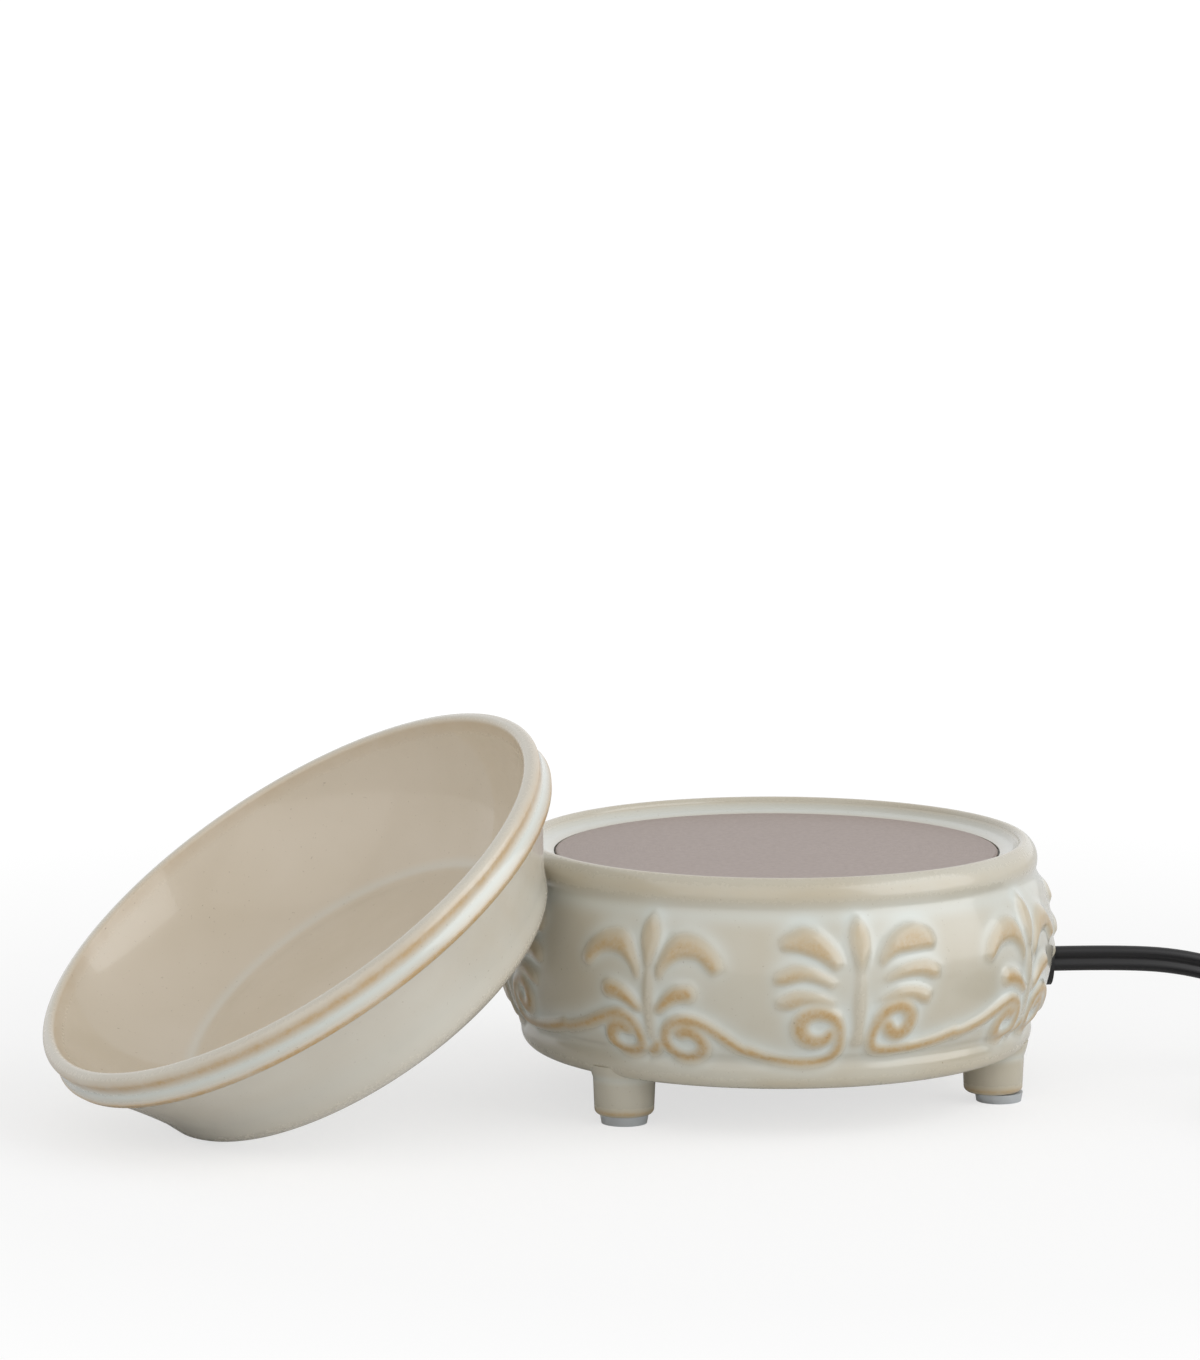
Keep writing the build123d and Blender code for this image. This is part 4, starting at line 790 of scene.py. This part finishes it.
dish_steps = [dish_step(shares) for shares in (
    (0.635, 0), (0.705, 0), ((0.748, 0.041), (0.780, 0.104)), (0.806, 0.233),
    ((0.870, 0.459), (0.965, 0.739)), (0.992, 0.752), (1.0, 0.783),
    ((0.989, 0.871), (1.0, 0.940)), ((0.992, 0.985), (0.976, 1.0)),
    ((0.952, 0.991), (0.947, 0.972)), ((0.837, 0.550), (0.670, 0.258)),
    ((0.615, 0.211), (0.569, 0.201)), (0, 0.201))]
dish_outline = profile((0, ring_recess), [(ring_width, ring_recess), *dish_steps], dish_sampling)
print("dish:", 2 * dish_radius, "mm across,", len(dish_outline), "rows")

# %% [markdown]
# The dish's glaze is bare on the two edges of its band, a touch on the heel and under the lip
# inside, and pools between the edges and in the corner of the floor. The lip's crest gets the same
# pale colour as a painted highlight. Each band is a strength, a middle and a spread, as on the
# body. Heights and radii tell these places apart, and the way walked along the outline past the
# lip tells the bowl, whose glaze is warmer, from the outside.

# %% Glaze marks of the dish
lip_blend = 1.5
edge_reach, band_reach, heel_reach = (59.5, 61.5), (58, 61), (44, 48)
r, z = dish_outline[:, 0], dish_outline[:, 1]
walked = np.cumsum(np.hypot(np.diff(r, prepend=0), np.diff(z, prepend=z[0])))
past_lip = walked - walked[np.argmax(z)]
inside_bowl = rise(past_lip, -lip_blend, lip_blend)
outside_bowl = 1 - inside_bowl
on_edge, on_band, on_heel = (outside_bowl * rise(r, *reach)
                             for reach in (edge_reach, band_reach, heel_reach))
dish_bare = (bands(z, [(1.35, 24.35, 0.75)]) * on_edge + bands(z, [(0.8, 29.4, 1.5)]) * on_band
             + bands(z, [(0.12, 3.0, 2.0)]) * on_heel + bands(z, [(0.4, 30.4, 1.2)]) * inside_bowl)
# The band about the lip's crest (past_lip at 0) is a painted highlight in the pooled colour, not
# pooled glaze.
dish_pool_and_lip_highlight = (bands(z, [(0.9, 26.8, 1.1), (0.25, 22.4, 1.0)]) * on_band
             + bands(z, [(0.25, 8.0, 6.0)]) * outside_bowl + bands(past_lip, [(0.3, 0, 1.0)])
             + bands(r, [(0.34, 39.4, 1.5)]) * inside_bowl)
print("dish glaze: barest", round(float(dish_bare.max()), 2),
      "and deepest", round(float(dish_pool_and_lip_highlight.max()), 2))

# %% The dish's mesh
dish_columns = 480
# On the dish the pooled mark also carries the lip's painted highlight.
dish = grid_mesh("dish_glazed",
                 turned_points(dish_outline * mm, dish_columns, dish_foot, dish_side, dish_axis),
                 marks={"bare": dish_bare[:, None], "pooled": dish_pool_and_lip_highlight[:, None],
                        "bowl": inside_bowl[:, None]})
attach(dish, "wax_dish")
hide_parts("wax_dish")

# %% [markdown]
# ## Shader arithmetic
#
# A finish is a sum of masks and noises. Written as nodes by hand that takes a page each, so a small
# class holds a node's output and lets Python's own signs add the Math nodes. A second class adds
# any other node by its type, to a material or to the room, and a third is one material, with
# places, noises and marks by name.
#
# Everywhere below, noise runs from 0 to 1 about a middle of 0.5, and between(low, high) says from
# where to where it counts: a narrow pair gives a sharp edge, a high pair gives rare spots. A number
# in front of a mask is how strongly it counts there.

# %% Shader arithmetic
class Flow:
    """A node's output. The signs + - * and ** add Math nodes, + - * also after a plain number."""

    def __init__(self, owner, socket):
        self.owner, self.socket = owner, socket

    def join(self, operation, first, second):
        """A Math node on two values, of which at least one is a node's output."""
        return self.owner.node("ShaderNodeMath", {"operation": operation}, {0: first, 1: second})

    def __add__(self, other):
        return self.join("ADD", self, other)

    __radd__ = __add__

    def __sub__(self, other):
        return self.join("SUBTRACT", self, other)

    def __rsub__(self, other):
        return self.join("SUBTRACT", other, self)

    def __mul__(self, other):
        return self.join("MULTIPLY", self, other)

    __rmul__ = __mul__

    def __pow__(self, other):
        return self.join("POWER", self, other)

    def between(self, low, high):
        """Share of the way from low to high, kept from 0 to 1."""
        return self.owner.node("ShaderNodeMapRange", {"clamp": True},
                                {"Value": self, "From Min": low, "From Max": high})


# %% Colours
def colour(red, green, blue):
    """Colour as a screen shows it, 0 to 255, in a shader's linear values: the sRGB formula."""
    screen = np.array([red, green, blue]) / 255
    linear = np.where(screen < 0.04045, screen / 12.92, ((screen + 0.055) / 1.055) ** 2.4)
    return (*map(float, linear), 1.0)


print("a screen's middle grey is", round(colour(128, 128, 128)[0], 3), "of white's light")

# %% Node trees
class NodeTree:
    """The nodes of a material or of the room."""

    def __init__(self, tree):
        self.tree = tree

    def node(self, kind, settings=None, sockets=None, output=0):
        """Adds a node of a kind. Its settings are set first, then the values or links."""
        made = self.tree.nodes.new(kind)
        for setting, value in (settings or {}).items():
            setattr(made, setting, value)
        for socket, value in (sockets or {}).items():
            self.put(made.inputs[socket], value)
        return Flow(self, made.outputs[output])

    def put(self, socket, value):
        """Links an output to a socket, or sets the socket's own value."""
        if isinstance(value, Flow):
            self.tree.links.new(value.socket, socket)
        else:
            socket.default_value = value


# %% Materials
class Finish(NodeTree):
    """A material under one Principled shader. Constant values are set on the shader's sockets."""

    def __init__(self, name, **constants):
        self.material = bpy.data.materials.new(name)
        self.material.use_nodes = True
        super().__init__(self.material.node_tree)
        self.shader = self.tree.nodes["Principled BSDF"]
        for socket, value in constants.items():
            self.shader.inputs[socket.replace("_", " ")].default_value = value

    def set(self, socket, value):
        """Links or sets a socket of the shader itself."""
        self.put(self.shader.inputs[socket], value)

    def place(self):
        """The point's place on the object, in metres."""
        return self.node("ShaderNodeTexCoord", output="Object")

    def noise(self, scale, detail=2.0, roughness=0.5, vector=None):
        """Noise of about 1 / scale metres a lump, from 0 to 1."""
        return self.node("ShaderNodeTexNoise", {}, {
            "Vector": vector or self.place(), "Scale": scale, "Detail": detail,
            "Roughness": roughness})

    def mark(self, name):
        """A value that the mesh keeps at its points."""
        return self.node("ShaderNodeAttribute", {"attribute_name": name}, output="Fac")

    def mix(self, share, first, second):
        """Colour between two colours. This node has a set of sockets for each kind of value, and
        those of colours are told apart by number only."""
        return self.node("ShaderNodeMix", {"data_type": "RGBA"}, {0: share, 6: first, 7: second},
                         output=2)

    def bump(self, height, strength, distance):
        """Tilts the surface's shading by the slope of a height that is a share of the distance."""
        self.set("Normal", self.node("ShaderNodeBump", {}, {
            "Height": height, "Strength": strength, "Distance": distance}))


def dress(finish, *pieces):
    """Gives pieces, or CAD nodes by name, one material in every slot."""
    for piece in pieces:
        made = nodes[piece] if isinstance(piece, str) else piece
        made.data.materials.clear()
        made.data.materials.append(finish.material)


# %% [markdown]
# ## The reactive glaze
#
# The body and the dish wear the same kind of glaze: cream where it lies even, tan to gold where it
# ran thin over an edge and the iron in it shows, and a cool pale blue-white where it pooled. So
# the colour reads the marks that the shapes carry. Blender could find crests and grooves itself,
# with Pointiness, but that changes with the mesh and sees no more than the nearest faces. Noise at
# four scales breaks the edges up: broad clouds of tone, patches, a mottled grain and fine specks.
# The surface itself is glass: a soft shine below a smooth coat, with the slight waves that a
# poured glaze keeps and a few pinholes.

# %% Glaze
cloud_scale, patch_scale, grain_scale, speck_scale = 30, 170, 900, 1500
iron_speck = (120, 96, 70)
wave_scale = 90
wave_height = 0.8 * mm
wave_strength = 0.2
cloud_edge, bowl_cloud_edge = (0.35, 0.68), (0.3, 0.7)
patch_edge, mottle_edge = (0.3, 0.68), (0.25, 0.75)
soft_edge, gold_edge = (0.05, 0.95), (0.45, 1.0)
rare_speck, speck_grain, rare_pit = (0.71, 0.77), (0.45, 0.7), (0.72, 0.80)


def glaze(name, cream, warm, thin, gold, thick, coat, coat_roughness, bowl=None):
    """The reactive glaze. It is cream or warm in clouds, thin to gold where bare, thick in pools.

    The coat is the strength of its gloss. A dish has a pair of tones of its own in its bowl."""
    finish = Finish(name, IOR=1.5, Coat_Roughness=coat_roughness, Coat_IOR=1.45)
    clouds = finish.noise(cloud_scale, 3.0)
    grain = finish.noise(grain_scale, 3.0, 0.7)
    fine = finish.noise(speck_scale, 1.0)
    bare, pooled = finish.mark("bare"), finish.mark("pooled")
    body = finish.mix(clouds.between(*cloud_edge), cream, warm)
    if bowl:
        body = finish.mix(finish.mark("bowl"), body,
                          finish.mix(clouds.between(*bowl_cloud_edge), *bowl))
    # On the dish's lip the pooled mark is partly a painted highlight.
    settled = (pooled + 0.2 * (clouds - 0.5)).between(*soft_edge)
    body = finish.mix(settled, body, thick)
    mottle = grain.between(*mottle_edge)
    patches = finish.noise(patch_scale, 2.0).between(*patch_edge)
    broken = bare * (0.5 + 0.35 * mottle + 0.4 * patches)
    tan = finish.mix(bare.between(*gold_edge) * (0.4 + 0.6 * mottle), thin, gold)
    body = finish.mix(broken.between(*soft_edge), body, tan)
    specks = fine.between(*rare_speck) * grain.between(*speck_grain)
    body = finish.mix(0.55 * specks, body, colour(*iron_speck))
    finish.set("Base Color", body)
    finish.set("Roughness", 0.24 + 0.14 * broken + 0.04 * grain)
    finish.set("Coat Weight", coat - 0.4 * coat * broken)
    waves = finish.noise(wave_scale, 2.0)
    pits = fine.between(*rare_pit)
    finish.bump(waves - 0.05 * pits, wave_strength, wave_height)
    return finish


body_glaze = glaze("glaze", cream=colour(196, 192, 178), warm=colour(189, 181, 162),
                   thin=colour(194, 177, 145), gold=colour(180, 146, 94),
                   thick=colour(207, 211, 205), coat=0.6, coat_roughness=0.09)
dish_glaze = glaze("dish_glaze", cream=colour(208, 203, 190), warm=colour(200, 192, 177),
                   thin=colour(191, 166, 130), gold=colour(190, 148, 78),
                   thick=colour(209, 213, 207), coat=0.6, coat_roughness=0.06,
                   bowl=(colour(215, 203, 184), colour(207, 194, 172)))
dress(body_glaze, *body_pieces)
dress(dish_glaze, dish)
print("glazes:", body_glaze.material.name, "and", dish_glaze.material.name)

# %% [markdown]
# ## The other finishes
#
# The CAD pieces that need no finer shape keep their own meshes and get a finish each. The
# heating plate is pressed aluminium with a satin taupe coating, and its faint rings come from the
# lathe that faced it. The cord, the switch and the plug are moulded vinyl, black but never fully
# black in a bright room, with a soft sheen and a slight grain. The pads are clear-grey silicone.
# Pictures of real surfaces would do too, but these are even finishes, and two functions cover most:
# moulded or coated stuff, and sheet metal. Depths are those of real grain: hundredths of a
# millimetre on plastic and metal, and more on felt and on woven sleeving.

# %% Two general finishes
wear_scale = 60
moulded_dark, metal_dark = 0.86, 0.72
moulded_bump, metal_bump = 0.25, 0.15
scratch_depth = 0.02 * mm
brushing = (0.08, 1, 1)


def darkened(shade, share):
    """A colour times a share, its alpha left alone."""
    return (*[share * part for part in shade[:3]], 1.0)


def moulded(name, shade, roughness, grain_scale=900, depth=0.03 * mm, **constants):
    """Plain moulded or coated surface: a tone that varies a little, and a fine grain."""
    finish = Finish(name, **constants)
    grain = finish.noise(grain_scale, 2.0)
    wear = finish.noise(wear_scale, 2.0)
    darker = darkened(shade, moulded_dark)
    finish.set("Base Color", finish.mix(wear.between(0.3, 0.7), shade, darker))
    finish.set("Roughness", roughness - 0.05 + 0.10 * wear)
    finish.bump(grain, moulded_bump, depth)
    return finish


def sheet_metal(name, shade, roughness, scratch_scale=700):
    """Bare or plated metal: fine scratches stretched along one way, in colour and roughness."""
    finish = Finish(name, Metallic=1.0)
    stretched = finish.node("ShaderNodeMapping", {}, {"Vector": finish.place(), "Scale": brushing})
    scratches = finish.noise(scratch_scale, 3.0, 0.6, stretched)
    darker = darkened(shade, metal_dark)
    finish.set("Base Color", finish.mix(scratches.between(0.3, 0.75), shade, darker))
    finish.set("Roughness", roughness + 0.18 * (scratches - 0.5))
    finish.bump(scratches, metal_bump, scratch_depth)
    return finish


print("a scratch is", round(brushing[1] / brushing[0]), "times as long as it is wide")

# %% [markdown]
# The plate's rings are a sine of the distance from its middle, with 9000 radians to the metre, so
# they lie 0.7 mm apart. Dust in its coating changes the tone a little from place to place.

# %% Heating plate
ring_turns = 9000
plate_finish = Finish("plate_coat", IOR=1.45, Coat_Weight=0.12, Coat_Roughness=0.3)
place = plate_finish.place()
x, y = (plate_finish.node("ShaderNodeSeparateXYZ", {}, {0: place}, output=part) for part in "XY")
away = (x * x + y * y) ** 0.5
rings = plate_finish.node("ShaderNodeMath", {"operation": "SINE"}, {0: away * ring_turns})
dust = plate_finish.noise(grain_scale, 3.0)
plate_finish.set("Base Color", plate_finish.mix(
    dust.between(0.35, 0.7), colour(157, 141, 134), colour(150, 134, 127)))
plate_finish.set("Roughness", 0.42 + 0.12 * dust + 0.02 * rings)
plate_finish.bump(0.5 * rings + plate_finish.noise(1400, 2.0), 0.2, 0.02 * mm)
dress(plate_finish, "heating_plate")
print("plate: a ring every", round(2 * pi / ring_turns / mm, 2), "mm")

# %% Pads, cord, switch and plug
pad_finish = Finish("pad", IOR=1.41, Transmission_Weight=0.35)
mist = pad_finish.noise(500, 2.0)
pad_finish.set("Base Color", pad_finish.mix(mist, colour(222, 226, 228), colour(206, 211, 214)))
pad_finish.set("Roughness", 0.35 + 0.15 * mist)
pad_finish.bump(mist, 0.1, 0.02 * mm)
dress(pad_finish, "foot_pad_left", "foot_pad_right", "foot_pad_back")

cord_finish = moulded("cord", colour(16, 15, 17), 0.40, 1200, 0.02 * mm, Specular_IOR_Level=0.4)
dress(cord_finish, first_cord, second_cord, "cord_lead", "cord_run", "cord_coil", "cord_tail",
      "cord_inlet")
dress(moulded("grommet", colour(26, 26, 28), 0.62), "cord_bushing", "cord_stop")
dress(moulded("switch_shell", colour(38, 37, 40), 0.36, 1500),
      "switch_upper_case", "switch_lower_case")
dress(moulded("wheel", colour(48, 47, 50), 0.45, 1500), "switch_wheel")
dress(moulded("plug_shell", colour(40, 39, 42), 0.38, 1200), "plug_body")
dress(moulded("tie", colour(30, 30, 32), 0.5), "coil_tie")
dress(moulded("cover", colour(218, 211, 198), 0.45, 700, 0.04 * mm), "base_cover")
print("finishes so far:", len(bpy.data.materials))

# %% [markdown]
# The pieces inside are finished too, since a user of the part may open it: zinc-plated steel,
# aluminium sheet, golden mica, white glass-fibre sleeving, nylon splices, and the heater's ribbon.

# %% Inner pieces
dress(sheet_metal("steel", colour(178, 178, 176), 0.38), "heater_terminals", "heater_clamp",
      "clamp_nut", "centre_pillar", "cover_screw", "cutoff_clip", "switch_screws")
dress(sheet_metal("shield", colour(202, 203, 204), 0.32), "heat_shield")
dress(sheet_metal("cutoff", colour(196, 196, 193), 0.3, 400), "thermal_cutoff")
dress(sheet_metal("ribbon", colour(150, 146, 140), 0.42, 1200), "heating_ribbon")
dress(sheet_metal("brass", colour(200, 160, 88), 0.33), "switch_contacts")
dress(sheet_metal("blade", colour(206, 202, 186), 0.28), "plug_blades")
dress(moulded("gasket", colour(190, 188, 184), 0.6), "plate_gasket")
dress(moulded("insulation", colour(226, 224, 216), 0.9, 1600, 0.2 * mm), "insulation_pad")
dress(moulded("splice", colour(222, 219, 208), 0.35), "crimp_splices")

mica_finish = Finish("mica", IOR=1.58)
flakes = mica_finish.node("ShaderNodeTexVoronoi", {},
                          {"Vector": mica_finish.place(), "Scale": 420.0})
mica_finish.set("Base Color", mica_finish.mix(flakes, colour(188, 170, 132), colour(222, 208, 176)))
mica_finish.set("Roughness", 0.3 + 0.4 * flakes)
mica_finish.bump(flakes, 0.2, 0.03 * mm)
dress(mica_finish, "mica_upper", "mica_lower")

wire_finish = Finish("wire")
weave = wire_finish.node("ShaderNodeTexChecker", {},
                         {"Vector": wire_finish.place(), "Scale": 2200.0}, output="Fac")
wire_finish.set("Base Color", wire_finish.mix(weave, colour(226, 222, 212), colour(206, 200, 188)))
wire_finish.set("Roughness", 0.7 + 0.1 * weave)
wire_finish.bump(weave, 0.3, 0.06 * mm)
dress(wire_finish, "lead_wires")
print("finishes:", len(bpy.data.materials))

# %% [markdown]
# ## Floor, light and background
#
# The picture is a studio one: a white sweep that burns out to white and keeps only the soft
# shadows under the feet and the dish. A curved backdrop would do, but a flat floor under a white
# room needs no seam. The floor is nearly white. What the camera sees of it is a mix of that floor
# with plain white, all white away from the object, so the shadows stay and the far floor doesn't
# turn grey. A large soft box stands at the right, a wider and weaker one in front at the left,
# and the room around gives a soft fill. To the camera, and in reflections, the room is white.

# %% Floor
half_floor = 30
floor_shade = 0.88
floor_white = 1.1
least_white = 0.6
shadow_reach = (0.2, 0.6)
white_paint = (1, 1, 1, 1)
floor_corners = [(-half_floor, -half_floor, 0), (half_floor, -half_floor, 0),
                 (half_floor, half_floor, 0), (-half_floor, half_floor, 0)]
floor_mesh = bpy.data.meshes.new("floor")
floor_mesh.from_pydata(floor_corners, [], [(0, 1, 2, 3)])
floor_piece = put_in_scene("floor", floor_mesh)
floor_finish = Finish("floor", Base_Color=(floor_shade, floor_shade, floor_shade, 1),
                      Roughness=0.9, Specular_IOR_Level=0.1)
away = floor_finish.node("ShaderNodeVectorMath", {"operation": "LENGTH"},
                         {0: floor_finish.place()}, output="Value")
seen = floor_finish.node("ShaderNodeLightPath", output="Is Camera Ray")
burnt = floor_finish.node("ShaderNodeEmission", {}, {"Color": white_paint, "Strength": floor_white})
swept = floor_finish.node("ShaderNodeMixShader", {}, {
    0: seen * (least_white + (1 - least_white) * away.between(*shadow_reach)),
    1: Flow(floor_finish, floor_finish.shader.outputs[0]), 2: burnt})
floor_finish.put(floor_finish.tree.nodes["Material Output"].inputs["Surface"], swept)
floor_piece.data.materials.append(floor_finish.material)
print("floor:", 2 * half_floor, "m wide")


# %% Lights
def soft_box(name, place, aim, size, power, tint):
    """Square area light that looks at a point. Its size is in metres and its power in watts."""
    data = bpy.data.lights.new(name, "AREA")
    data.size, data.energy, data.color = size, power, tint
    made = put_in_scene(name, data)
    made.location = place
    made.rotation_euler = (Vector(place) - Vector(aim)).to_track_quat("Z", "Y").to_euler()
    return made


lights = [soft_box("key", place=(2.1, -0.8, 1.15), aim=(0, 0, 0.03), size=2.6, power=38.0,
                   tint=(0.98, 0.99, 1.0)),
          soft_box("front", place=(-1.2, -1.9, 0.95), aim=(-0.05, 0, 0.03), size=3.2, power=15.0,
                   tint=(1.0, 0.98, 0.95))]
print("lights:", [light.name for light in lights])

# %% World
room_fill, room_white = 0.55, 1.0
world = bpy.data.worlds.new("world")
bpy.context.scene.world = world
world.use_nodes = True
room = NodeTree(world.node_tree)
room.tree.nodes.remove(room.tree.nodes["Background"])
seen = room.node("ShaderNodeLightPath", output="Is Camera Ray")
for ray in ("Is Transmission Ray", "Is Glossy Ray"):
    also = room.node("ShaderNodeLightPath", output=ray)
    seen = room.node("ShaderNodeMath", {"operation": "MAXIMUM"}, {0: seen, 1: also})
fill, white = (room.node("ShaderNodeBackground", {}, {"Color": white_paint, "Strength": strength})
               for strength in (room_fill, room_white))
blend = room.node("ShaderNodeMixShader", {}, {0: seen, 1: fill, 2: white})
room.put(room.tree.nodes["World Output"].inputs["Surface"], blend)
bpy.context.scene.view_settings.view_transform = "Standard"
print("room: fill", room_fill, "and white", room_white)
